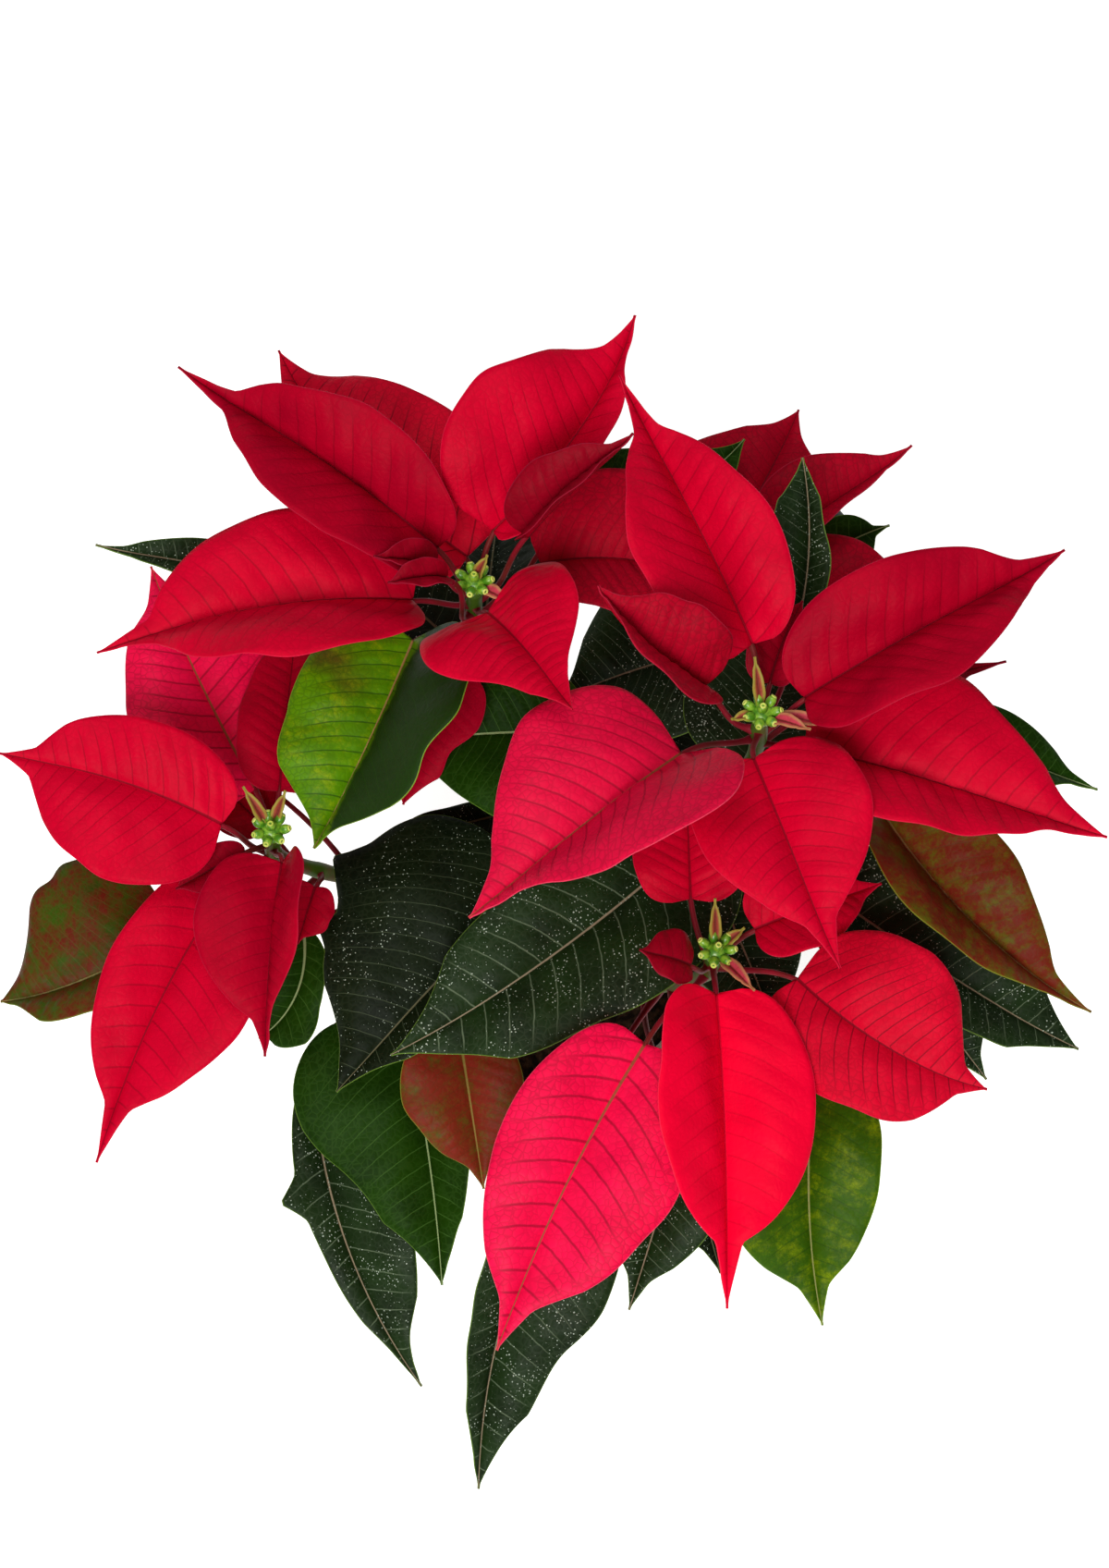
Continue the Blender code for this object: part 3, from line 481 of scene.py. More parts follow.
# Each blade: name, stem, height where its stalk leaves the stem, blade base, blade tip, width of the
# left and the right half (seen from the base), where it is widest and where its drawn-out tip starts
# (0 at the base, 1 at the tip), lift of the left and the right half in degrees, bow, sway and tip hook
BRACTS = [
    ("bract_a1_rear_left", "a", 302, (-42, 76, 318), (-135, 135, 345), (37, 28), 0.36, 0.81, 34, 50, 4, 2, 8),
    ("bract_a2_left", "a", 296, (-51, 58, 312), (-162, 34, 318), (45, 35), 0.37, 0.82, 40, 12, 5, 5, 3),
    ("bract_a3_rear", "a", 306, (-22, 83, 318), (29, 156, 346), (43, 20), 0.34, 0.86, 34, 40, 3, 6, 8),
    ("bract_a4_upright", "a", 298, (-10, 72, 335), (27, 94, 368), (17, 17), 0.34, 0.86, 40, 66, 3, 0, 4),
    ("bract_a5_front", "a", 296, (-24, 52, 314), (6, -3, 350), (30, 33), 0.28, 0.82, 24, 8, 3, -1, 4),
    ("bract_a6_dark", "a", 304, (-43, 64, 326), (-63, 60, 342), (9, 9), 0.34, 0.86, 40, 40, 1, 0, 1),
    ("bract_a10_folded", "a", 291, (-38, 56, 333), (-58, 49, 343), (9, 7), 0.38, 0.90, 40, 40, 2, 0, 1),
    ("bract_a7_far_rear", "a", 290, (-32, 83, 298), (-104, 171, 298), (33, 38), 0.35, 0.87, 25, 20, 5, -8, 4),
    ("bract_a8_right", "a", 286, (-5, 80, 298), (49, 79, 296), (34, 26), 0.51, 0.86, 15, 16, 4, -2, 3),
    ("bract_a9_lower", "a", 262, (-43, 51, 267), (-56, 5, 250), (22, 23), 0.26, 0.90, 15, 12, 3, 0, 2),
    ("bract_b1_rear_left", "b", 314, (69, 30, 333), (23, 121, 362), (38, 27), 0.33, 0.81, 35, 36, 4, 1, 8),
    ("bract_b2_right", "b", 311, (87, 11, 329), (177, 57, 352), (30, 37), 0.35, 0.86, 36, 38, 5, 0, 7),
    ("bract_b3_folded", "b", 313, (52, 9, 343), (15, 32, 373), (22, 24), 0.34, 0.90, 58, 40, 3, -5, 3),
    ("bract_b4_left", "b", 308, (44, -7, 322), (-29, -69, 324), (53, 44), 0.31, 0.85, 48, 4, 5, 0, 4),
    ("bract_b5_front", "b", 315, (69, -10, 324), (96, -88, 326), (33, 31), 0.33, 0.80, 14, 12, 6, 1, 4),
    ("bract_b6_right", "b", 304, (88, 0, 312), (191, -36, 316), (40, 34), 0.32, 0.86, 10, 34, 4, 0, 3),
    ("bract_b7_far_right", "b", 300, (94, 20, 302), (163, 41, 297), (14, 16), 0.32, 0.80, 20, 20, 3, 0, 2),
    ("bract_b8_dark", "b", 306, (76, 23, 316), (88, 52, 323), (13, 12), 0.47, 0.90, 20, 20, 2, -1, 2),
    ("bract_c1_left", "c", 258, (-119, -17, 283), (-198, 5, 296), (36, 25), 0.38, 0.86, 0, 20, 4, 3, 4),
    ("bract_c2_front_left", "c", 258, (-116, -31, 265), (-161, -133, 252), (35, 24), 0.36, 0.82, 12, 20, 4, 4,
     3),
    ("bract_c3_front", "c", 265, (-97, -31, 281), (-101, -102, 276), (26, 28), 0.35, 0.83, 64, 14, 4, 1, 3),
    ("bract_c4_rear_left", "c", 252, (-110, 8, 258), (-152, 96, 266), (32, 33), 0.34, 0.87, 8, 0, 4, -2, 4),
    ("bract_c5_upright", "c", 263, (-100, 2, 270), (-96, 72, 269), (18, 21), 0.36, 0.88, 12, 10, 2, 0, 2),
    ("bract_c6_small", "c", 267, (-111, -24, 274), (-135, -39, 276), (9, 8), 0.42, 0.92, 15, 15, 1, 0, 1),
    ("bract_c7_lower", "c", 232, (-88, -25, 243), (-94, -46, 240), (10, 13), 0.42, 0.88, 10, 10, 1, 0, 1),
    ("bract_c8_rear", "c", 244, (-107, -4, 249), (-127, 18, 244), (13, 13), 0.34, 0.86, 10, 10, 2, 0, 1),
    ("bract_d1_front", "d", 262, (57, -78, 273), (59, -188, 262), (32, 33), 0.38, 0.80, 5, 44, 5, -1, 3),
    ("bract_d2_front_left", "d", 250, (32, -92, 260), (-20, -198, 244), (38, 30), 0.36, 0.87, 8, 14, 4, 3, 3),
    ("bract_d3_right", "d", 258, (86, -71, 270), (151, -112, 270), (37, 28), 0.40, 0.88, 14, 0, 4, 6, 4),
    ("bract_d4_small", "d", 260, (48, -69, 278), (30, -68, 291), (9, 11), 0.36, 0.88, 4, 6, 2, 0, 2),
    ("bract_d5_rear", "d", 254, (49, -38, 264), (48, 5, 268), (21, 21), 0.34, 0.86, 10, 10, 2, 0, 2),
    ("bract_d6_rear_right", "d", 246, (72, -49, 262), (118, -32, 264), (19, 19), 0.34, 0.86, 20, 20, 2, 0, 2),
    ("bract_e1_rear", "e", 250, (66, 105, 263), (93, 157, 278), (35, 25), 0.32, 0.87, 14, 10, 4, 1, 5),
    ("bract_e2_right", "e", 253, (82, 99, 277), (133, 131, 296), (22, 11), 0.31, 0.85, 26, 46, 4, 1, 5),
    ("bract_e3_front_right", "e", 246, (79, 88, 268), (150, 66, 258), (25, 25), 0.34, 0.86, 20, 20, 4, 0, 3),
    ("bract_e4_rear_left", "e", 240, (54, 106, 254), (40, 152, 250), (22, 22), 0.34, 0.86, 10, 10, 4, 0, 3),
    ("bract_e5_front", "e", 244, (58, 79, 261), (43, 58, 258), (14, 14), 0.34, 0.86, 20, 20, 2, 0, 2),
]

LEAVES = [
    ("g1", "a", 262, (-52, 59, 278), (-87, -20, 268), (48, 34), 0.37, 0.91, 48, 10, 4, -2, 3),
    ("g2", "a", 206, (-9, -20, 230), (-80, -95, 216), (24, 56), 0.32, 0.89, 12, 4, 6, 0, 3),
    ("g15", "a", 252, (-105, 86, 274), (-168, 88, 298), (10, 10), 0.34, 0.86, 30, 30, 2, 0, 3),
    ("g16", "b", 232, (9, 32, 256), (-61, 33, 246), (36, 25), 0.32, 0.86, 0, 20, 3, 0, 2),
    ("g23", "a", 268, (13, 116, 278), (71, 136, 292), (20, 28), 0.26, 0.90, 20, 20, 2, 9, 2),
    ("h1", "a", 212, (-42, 80, 240), (-98, 148, 196), (36, 30), 0.34, 0.86, 18, 18, 6, 0, 3),
    ("h2", "a", 200, (-27, 100, 214), (-22, 172, 184), (28, 28), 0.34, 0.86, 18, 18, 6, 0, 3),
    ("h8", "a", 184, (-8, 23, 206), (-70, 9, 200), (16, 8), 0.45, 0.90, 8, 8, 2, 0, 2),
    ("g3", "b", 226, (54, -5, 246), (-59, -89, 240), (38, 34), 0.32, 0.91, 6, 14, 5, -6, 3),
    ("g10", "b", 222, (103, -26, 236), (194, -77, 212), (36, 29), 0.27, 0.90, 20, 16, 6, 4, 3),
    ("g11", "b", 250, (120, -4, 262), (194, -74, 244), (29, 27), 0.33, 0.84, 30, 42, 5, 8, 3),
    ("g12", "b", 190, (126, -40, 206), (163, -80, 186), (20, 20), 0.34, 0.86, 15, 15, 4, 0, 2),
    ("g19", "b", 198, (60, -13, 216), (84, -66, 198), (25, 25), 0.34, 0.86, 15, 15, 4, 0, 2),
    ("g20", "b", 262, (129, 29, 268), (202, 13, 246), (17, 17), 0.34, 0.86, 14, 30, 4, 0, 3),
    ("g24", "b", 286, (88, 54, 304), (89, 105, 332), (29, 10), 0.28, 0.90, 40, 40, 2, 3, 2),
    ("g27", "b", 240, (71, 21, 253), (90, 80, 252), (30, 25), 0.34, 0.86, 8, 8, 2, 0, 2),
    ("h3", "b", 186, (112, 48, 214), (165, 62, 194), (25, 25), 0.34, 0.86, 18, 18, 6, 0, 3),
    ("h9", "b", 170, (60, 25, 203), (58, 74, 196), (20, 24), 0.34, 0.86, 10, 10, 3, 0, 2),
    ("g4", "c", 190, (-57, -59, 198), (-42, -154, 166), (30, 46), 0.28, 0.88, 40, 4, 5, -2, 3),
    ("g5", "c", 200, (-35, -74, 220), (-26, -127, 200), (21, 25), 0.34, 0.86, 12, 12, 3, 0, 2),
    ("g6", "c", 160, (-92, -75, 170), (-50, -186, 140), (36, 12), 0.33, 0.88, 34, 12, 5, 9, 3),
    ("g13", "c", 228, (-142, -38, 228), (-206, -59, 214), (21, 45), 0.36, 0.91, 30, 6, 4, -5, 3),
    ("g14", "c", 206, (-94, -32, 214), (-111, -68, 198), (11, 23), 0.60, 0.94, 10, 10, 3, -7, 2),
    ("h4", "c", 214, (-112, 24, 230), (-160, 68, 204), (26, 26), 0.34, 0.86, 18, 18, 6, 0, 3),
    ("g7", "d", 196, (3, -121, 206), (-28, -227, 152), (35, 20), 0.28, 0.89, 5, 52, 6, 7, 3),
    ("g8", "d", 206, (51, -101, 220), (27, -171, 195), (24, 24), 0.34, 0.86, 15, 20, 4, 0, 3),
    ("g9", "d", 216, (95, -91, 226), (97, -177, 196), (27, 35), 0.36, 0.85, 18, 12, 5, 4, 3),
    ("h5", "d", 178, (42, -86, 192), (62, -150, 168), (25, 25), 0.34, 0.86, 15, 15, 6, 0, 3),
    ("g17", "e", 236, (58, 70, 248), (2, 57, 234), (36, 38), 0.32, 0.88, 12, 8, 3, 0, 2),
    ("g18", "e", 222, (34, 60, 236), (2, 50, 226), (18, 16), 0.34, 0.86, 8, 8, 1, 0, 1),
    ("g25", "e", 230, (95, 100, 240), (128, 119, 256), (12, 17), 0.42, 0.86, 20, 20, 2, -4, 2),
    ("h6", "e", 214, (41, 98, 236), (8, 178, 200), (28, 28), 0.34, 0.86, 18, 18, 6, 0, 3),
    ("h7", "e", 204, (76, 122, 220), (112, 168, 196), (27, 27), 0.34, 0.86, 18, 18, 6, 0, 3),
]

# Lobes on a leaf's edge: leaf, side (-1 left, 1 right), place along the blade, reach and half length
LOBES = [
    ("g2", 1, 0.4, 7, 0.1),
    ("g2", 1, 0.6, 9, 0.06),
    ("g6", 1, 0.345, 8, 0.07),
]

# The blades of each finish; the rest of the bracts are BRACT_RED and the rest of the leaves LEAF_DARK
BRACT_FINISHES = (
    (BRACT_BRIGHT, "d1_front"),
    (BRACT_PINK_AND_SHEEN, "c4_rear_left d2_front_left"),
    (BRACT_SHADED_PINK, "b4_left"),
    (BRACT_CRIMSON_AND_SHADE, "a1_rear_left b2_right c3_front c5_upright a9_lower c7_lower"),
    (BRACT_VEINED, "a7_far_rear d3_right"),
    (BRACT_DIM_AND_SHADE, "a8_right b3_folded e1_rear e2_right e3_front_right"),
    (BRACT_DEEP, "a4_upright a6_dark a10_folded b7_far_right b8_dark c6_small c8_rear d4_small "
                 "e4_rear_left e5_front"),
)
LEAF_FINISHES = (
    (LEAF_HALF_SHADED, "g1"),
    (LEAF_LIGHT, "g9"),
    (LEAF_BLACK, "g2 h1 h2 h3 h4 h5 h6 h7 h8 h9"),
    (LEAF_GREEN, "g4 g14 g16 g18 g20 g23 g25"),
    (LEAF_TURNING, "g13"),
    (LEAF_REDDENED, "g11"),
    (LEAF_RUSSET, "g5"),
)


def finish_of(name, finishes, usual):
    """The finish whose list has the name."""
    for finish, names in finishes:
        if name in names.split():
            return finish
    return usual


def smooth_path(marks, share):
    """The point at a share, 0 to 1, along a smooth curve through the marks."""
    spans = len(marks) - 1
    place = min(max(share, 0.0), 1.0) * spans
    span = min(int(place), spans - 1)
    t = place - span
    p1 = Vector(marks[span])
    p2 = Vector(marks[span + 1])
    p0 = Vector(marks[span - 1]) if span > 0 else p1 * 2 - p2
    p3 = Vector(marks[span + 2]) if span + 2 <= spans else p2 * 2 - p1
    return 0.5 * (2 * p1 + (p2 - p0) * t + (2 * p0 - 5 * p1 + 4 * p2 - p3) * t * t
                  + (3 * p1 - p0 - 3 * p2 + p3) * t * t * t)


def stem_at_height(stem, height):
    """The centre of a stem, its direction and its radius at a height."""
    marks = STEMS[stem]
    low, high = 0.0, 1.0
    for _ in range(30):
        middle = (low + high) / 2
        if smooth_path(marks, middle).z < height:
            low = middle
        else:
            high = middle
    share = (low + high) / 2
    ahead = smooth_path(marks, share + 0.01)
    behind = smooth_path(marks, share - 0.01)
    radius = STEM_FOOT_RADIUS + (STEM_TOP_RADIUS - STEM_FOOT_RADIUS) * share
    return smooth_path(marks, share), (ahead - behind).normalized(), radius


def unit(vectors):
    """Vectors in rows, each scaled to length 1."""
    return vectors / np.linalg.norm(vectors, axis=-1, keepdims=True)


def bell(distance, half):
    """A soft bump that is 1 in the middle and fades over a half width."""
    return np.exp(-(distance / half) ** 2)


def blade_width(u, widest, body_end):
    """Half width of a blade at u along it, as a share of its greatest half width."""
    peak = widest / body_end
    s = np.clip(u / body_end, 0, 1)
    fall = BASE_ROUND * (1 - peak * peak) / (2 * peak * peak)
    body = (s / peak) ** BASE_ROUND * ((1 - s * s) / (1 - peak * peak)) ** fall
    drawn = TIP_SHARE * (np.clip(1 - u, 0, 1) / (1 - body_end)) ** TIP_CURVE
    fade = np.clip((u - TIP_FADE[0]) / TIP_FADE[1], 0, 1)
    return np.hypot(body, drawn * fade)


def lobe_reach(name, side, u):
    """How far lobes push a blade's edge out at u."""
    reach = np.zeros_like(u)
    for leaf, lobe_side, place, size, half_length in LOBES:
        if leaf == name and lobe_side == side:
            reach += size * np.clip(1 - np.abs(u - place) / half_length, 0, 1) ** LOBE_CURVE
    return reach


def blade_relief(u, v, x, reach, sign, half, vein, spacing, phase, size):
    """How far each point of a blade rises above its flat halves."""
    rise = CROWN * np.minimum(1, u / 0.25)[:, None] * half * 4 * np.abs(v) * (1 - np.abs(v))
    wave = WAVE * np.sin(2 * math.pi * WAVES_PER_BLADE * u[:, None] + phase + sign)
    rise = rise + wave * v ** 2 * np.minimum(1, half / 12)
    firm = 0.55 + 0.45 * np.sin(vein * 2.3 + x * 0.05 + phase) * np.cos(reach * 0.21 + vein)
    swell = 0.5 - 0.5 * np.cos(2 * math.pi * vein)
    from_vein = np.abs(vein - np.round(vein)) * spacing
    inside = np.clip(reach / 3, 0, 1) * np.clip((1 - np.abs(v)) / 0.25, 0, 1) * np.minimum(1, half / 10)
    rise = rise + QUILT * size * (0.5 * swell - bell(from_vein, 1.0)) * inside * firm
    for turn, span, height in LUMPS:
        way = x * math.cos(turn + phase) + reach * sign * math.sin(turn + phase)
        lump = height * size * np.sin(2 * math.pi * way / span + phase * turn)
        rise = rise + lump * np.clip(reach / 8, 0, 1)
    return rise - RIB_GROOVE * bell(reach, RIB_GROOVE_HALF)


def blade_surface(blade, rows, columns):
    """The upper and lower faces of a blade, with what its skin needs to know at each point."""
    name, _, _, base, tip, halves, widest, body_end, left, right, bow, sway, hook = blade
    base, tip = np.array(base, dtype=float), np.array(tip, dtype=float)
    length = np.linalg.norm(tip - base)
    chord = (tip - base) / length
    up = unit(np.array([0.0, 0.0, 1.0]) - chord * chord[2])
    side = np.cross(chord, up)
    straight_tip = tip - up * hook

    def midrib(u):
        u = u[:, None]
        lifted = np.clip((u - HOOK_START) / (1 - HOOK_START), 0, 9) ** 2
        arc = 4 * u * (1 - u)
        return base + (straight_tip - base) * u + (up * bow + side * sway) * arc + up * hook * lifted

    # u runs from the base to the tip and v from the left margin, -1, to the right one, 1
    phase = sum(ord(letter) for letter in name)
    u = np.linspace(0, 1, rows) ** ROW_CROWDING
    t = np.linspace(-1, 1, columns)
    v = np.sign(t) * np.abs(t) ** COLUMN_CROWDING
    centre = midrib(u)
    along = unit(midrib(u + 0.01) - midrib(u - 0.01))
    across = unit(np.cross(along, up))
    above = np.cross(across, along)
    sign = np.where(v >= 0, 1.0, -1.0)
    least = np.where(u < HOOK_START, NECK_HALF, TIP_HALF)
    share = blade_width(u, widest, body_end)
    half = np.maximum(share[:, None] * np.where(v >= 0, halves[1], halves[0]), least[:, None])
    ripple = sum(height * np.sin(waves * u + turns * phase) for height, waves, turns in MARGIN_RIPPLES)
    uneven = 1 + ripple[:, None] * sign
    lobes = np.where(v >= 0, lobe_reach(name, 1, u)[:, None], lobe_reach(name, -1, u)[:, None])
    reach = (half * uneven + lobes) * np.abs(v)
    lift = np.radians(np.where(v > 0, right, np.where(v < 0, left, 0.0)))[None] * np.ones((rows, 1))
    lift *= np.where(u[:, None] > HOOK_START, np.minimum(1.0, half / FLAT_HALF), 1.0)
    outward = across[:, None] * (np.cos(lift) * sign)[..., None] + above[:, None] * np.sin(lift)[..., None]
    skyward = above[:, None] * np.cos(lift)[..., None] - across[:, None] * (np.sin(lift) * sign)[..., None]
    drop_back = BASE_SWEEP * np.clip(1 - u / SWEEP_END, 0, 1)[:, None] * reach

    # Where a point lies in the flat blade, and which side vein passes it
    x = (u * length)[:, None] - drop_back
    spacing = max(VEIN_SPACING, length / VEINS_PER_BLADE)
    vein = ((x - VEIN_SLANT * reach - VEIN_BEND * reach ** 2) / spacing
            + np.where(sign > 0, 0.0, VEIN_OFFSET)[None] + phase % 7)

    rise = blade_relief(u, v, x, reach, sign, half, vein, spacing, phase, min(1.0, sum(halves) / FULL_SIZE))
    middle = (centre[:, None] + outward * reach[..., None] + skyward * rise[..., None]
              - along[:, None] * drop_back[..., None])
    skin = BLADE_SKIN * (1 - EDGE_THINNING * np.abs(v) ** 4)[None] * np.ones((rows, 1))
    fold = np.maximum(0.6, np.cos(np.radians((left + right) / 2)))
    skin = np.where(v[None] == 0, skin / fold, skin)
    keel = KEEL_DEPTH * (1 - 0.85 * u)[:, None] * bell(reach, KEEL_HALF)
    upper = middle + skyward * skin[..., None]
    lower = middle - skyward * (skin + keel)[..., None]
    everywhere = np.ones((rows, columns))
    maps = {
        "size": np.stack([reach * sign / 100, x / 100], axis=-1),
        "veins": np.stack([vein, (1 - np.abs(v)) * half / 100], axis=-1),
        "blade": np.stack([np.abs(v) * everywhere, u[:, None] * everywhere], axis=-1),
    }
    return upper, lower, maps, chord, up


def tube_grid(path, radii, sides):
    """Rings of points round a path."""
    path = np.array(path, dtype=float)
    along = unit(np.gradient(path, axis=0))
    guide = np.array([0.0, 0.0, 1.0]) if abs(along[:, 2]).max() < 0.95 else np.array([0.31, 0.95, 0.05])
    side = unit(np.cross(along, guide))
    top = np.cross(side, along)
    turns = np.linspace(0, 2 * math.pi, sides, endpoint=False)
    ring = side[:, None] * np.cos(turns)[None, :, None] + top[:, None] * np.sin(turns)[None, :, None]
    return path[:, None] + ring * np.array(radii)[:, None, None]


def turned_grid(profile, place, direction, sides):
    """Rings of a turned form on an axis."""
    direction = np.array(direction, dtype=float)
    guide = np.array([1.0, 0, 0]) if abs(direction[0]) < 0.7 else np.array([0, 1.0, 0])
    side = unit(np.cross(direction, guide))
    other = np.cross(side, direction)
    turns = np.linspace(0, 2 * math.pi, sides, endpoint=False)
    ring = side * np.cos(turns)[:, None] + other * np.sin(turns)[:, None]
    return np.array([np.array(place) + direction * rise + ring * radius for rise, radius in profile])


def bezier(points, steps):
    """A smooth curve from the first point to the last, drawn towards the two between."""
    t = np.linspace(0, 1, steps)[:, None]
    a, b, c, d = (np.array(point, dtype=float) for point in points)
    return a * (1 - t) ** 3 + 3 * b * t * (1 - t) ** 2 + 3 * c * t * t * (1 - t) + d * t ** 3


class Shell:
    """Points and faces of one piece, with the material slot of each face."""

    def __init__(self):
        self.points = []
        self.faces = []
        self.slots = []
        self.count = 0

    def add_faces(self, faces, slot):
        """Add faces of one material slot, each a row of point numbers."""
        self.faces.extend(faces)
        self.slots.extend([slot] * len(faces))

    def add_grid(self, grid, slot, wraps):
        """Add rows by columns of points, whose columns may wrap round. Returns their numbers."""
        rows, columns = grid.shape[:2]
        numbers = np.arange(rows * columns).reshape(rows, columns) + self.count
        self.points.append(grid.reshape(-1, 3))
        self.count += rows * columns
        right = np.roll(numbers, -1, axis=1) if wraps else numbers[:, 1:]
        left = numbers if wraps else numbers[:, :-1]
        quads = np.stack([left[:-1], right[:-1], right[1:], left[1:]], axis=-1).reshape(-1, 4)
        self.add_faces(quads.tolist(), slot)
        return numbers

    def add_tube(self, grid, slot):
        """Add rings of points as a tube with both ends closed."""
        numbers = self.add_grid(grid, slot, True)
        self.add_faces([numbers[0][::-1].tolist(), numbers[-1].tolist()], slot)

    def add_blade(self, upper, lower):
        """Add a blade's upper and lower faces, joined all round the edge, in the first slot."""
        top = self.add_grid(upper, 0, False)
        below = self.add_grid(lower[:, ::-1], 0, False)[:, ::-1]
        for edge in (
            [top[:-1, 0], top[1:, 0], below[1:, 0], below[:-1, 0]],
            [top[1:, -1], top[:-1, -1], below[:-1, -1], below[1:, -1]],
            [top[0, 1:], top[0, :-1], below[0, :-1], below[0, 1:]],
            [top[-1, :-1], top[-1, 1:], below[-1, 1:], below[-1, :-1]],
        ):
            self.add_faces(np.stack(edge, axis=-1).tolist(), 0)


def join_maps(maps, stalk):
    """A blade's maps for its upper face, its lower face and a blank stalk, point by point."""
    blank = np.zeros((stalk.shape[0] * stalk.shape[1], 2))
    return {key: np.concatenate([values.reshape(-1, 2), values[:, ::-1].reshape(-1, 2), blank])
            for key, values in maps.items()}


def add_piece(name, shell, materials, node, maps=None):
    """A smooth mesh object from a shell, on the CAD's one body, in place of a CAD node."""
    mesh = bpy.data.meshes.new(name)
    points = np.concatenate(shell.points) * MM
    mesh.from_pydata(points.tolist(), [], shell.faces)
    for material in materials:
        mesh.materials.append(material)
    mesh.polygons.foreach_set("material_index", shell.slots)
    mesh.polygons.foreach_set("use_smooth", [True] * len(shell.faces))
    corners = np.empty(len(mesh.loops), dtype=np.int64)
    mesh.loops.foreach_get("vertex_index", corners)
    for key, values in (maps or {}).items():
        layer = mesh.uv_layers.new(name=key)
        layer.data.foreach_set("uv", values[corners].ravel())
    mesh.validate()
    mesh.update()
    piece = bpy.data.objects.new(name, mesh)
    bpy.context.scene.collection.objects.link(piece)
    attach(piece, "root")
    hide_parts(node)


def grow_blade(blade, piece_name, node, finish, grid):
    """A blade with its stalk, as one piece."""
    upper, lower, maps, chord, up = blade_surface(blade, *grid)
    shell = Shell()
    shell.add_blade(upper, lower)

    base = Vector(blade[3])
    centre, axis, radius = stem_at_height(blade[1], blade[2])
    outward = base - centre
    outward = (outward - axis * outward.dot(axis)).normalized()
    root = centre + outward * radius * 0.4
    reach = (base - root).length
    chord = Vector(chord)
    neck = base + chord * min(NECK_LENGTH, reach * 0.3) - Vector(up) * NECK_DROP
    pull = reach * STALK_PULL
    path = bezier([root, root + outward * pull, base - chord * pull, neck], STALK_STEPS)
    t = np.linspace(0, 1, STALK_STEPS)
    radii = STALK_RADIUS - STALK_TAPER * t + STALK_FLARE * bell(t, STALK_FLARE_SHARE)
    radii[-1] = STALK_END_RADIUS
    stalk = tube_grid(path, radii, STALK_SIDES)
    shell.add_tube(stalk, 1)
    add_piece(piece_name, shell, [finish, STALK_RED], node, join_maps(maps, stalk))


def grow_stem(stem):
    """A green stem, a little swollen where each blade leaves it."""
    path = [smooth_path(STEMS[stem], step / (STEM_STEPS - 1)) for step in range(STEM_STEPS)]
    straight = np.linspace(STEM_FOOT_RADIUS, STEM_TOP_RADIUS, STEM_STEPS)
    radii = straight - 0.1
    heights = np.array([point.z for point in path])
    for blade in LEAVES + BRACTS:
        if blade[1] == stem:
            radii = radii + STEM_SWELLING * bell(heights - blade[2], STEM_SWELLING_HALF)
    shell = Shell()
    shell.add_tube(tube_grid(path, np.minimum(radii, straight + 0.5), STEM_SIDES), 0)
    add_piece("green_stem_" + stem, shell, [STALK_GREEN], "leafy_stem_" + stem)


# Flowers

CUP_RADIUS = 1.8
CUP_HEIGHT = 4.6
CUP_LEAN = 58.0
CUPS_AROUND = 7
CUP_SEAT = 3.6
DOME_MIDDLE = 4.0
GAP = 0.35
# Rises and radii of the dome that the cups sit on, in millimetres
DOME = ((0.0, 2.4), (1.2, 3.0), (2.4, 3.8), (3.8, 4.4), (5.0, 4.6), (6.6, 3.7), (8.0, 1.6))
# Rises and radii of a cup, its pale mouth and the pip in it, as shares of the cup's height and radius,
# each with its material slot and sides
CUP_FORMS = (
    (((0.0, 0.5), (0.08, 0.74), (0.25, 0.97), (0.45, 1.02), (0.65, 0.96), (0.8, 0.82), (0.9, 0.68)), 0, 16),
    (((0.84, 0.6), (0.92, 0.64), (0.99, 0.58), (1.02, 0.44), (0.99, 0.3), (0.9, 0.24)), 1, 16),
    (((0.84, 0.2), (0.93, 0.2), (0.97, 0.1)), 0, 8),
)
# Bractlets that stand out flatter than this, in degrees, are wider and rosier than the upright ones
ROSY_BELOW_RISE = 29
BRACTLET_ROOT = 3.0
BRACTLET_START = 5.0
BRACTLET_STALK = ((1.0, 0.8), (2.5, 0.75), (4.0, 0.7), (5.5, 0.6), (7.0, 0.3))
# Bractlets of each head: direction in degrees from +X, length and rise in degrees
BRACTLETS = {
    "a": [(48, 10, 62), (-35, 11, 20)],
    "b": [(100, 17, 45), (-12, 23, 12), (-30, 16, 28), (200, 8, 30)],
    "c": [(128, 16, 45), (66, 12, 40)],
    "d": [(-54, 19, 25), (35, 9, 30), (92, 16, 45)],
    "e": [(150, 14, 35), (-60, 14, 35)],
}


def grow_cups(stem, foot, axis):
    """A cluster of closed flower cups on a dome, each with its pale mouth."""
    middle = foot + axis * DOME_MIDDLE
    across = axis.cross(Vector((0, 1, 0))).normalized()
    ahead = across.cross(axis)
    shell = Shell()
    shell.add_tube(turned_grid(DOME, foot, axis, 16), 0)
    lean = math.radians(CUP_LEAN)
    ways = [axis]
    for place in range(CUPS_AROUND):
        turn = 2 * math.pi * (place + 0.5) / CUPS_AROUND
        aside = across * math.cos(turn) + ahead * math.sin(turn)
        ways.append(axis * math.cos(lean) + aside * math.sin(lean))
    for way in ways:
        seat = middle + way * CUP_SEAT
        for form, slot, sides in CUP_FORMS:
            profile = [(rise * CUP_HEIGHT, share * CUP_RADIUS) for rise, share in form]
            shell.add_tube(turned_grid(profile, seat, way, sides), slot)
    add_piece("flower_cups_" + stem, shell, [FLOWER_CUP, CUP_MOUTH], "flowers_" + stem)


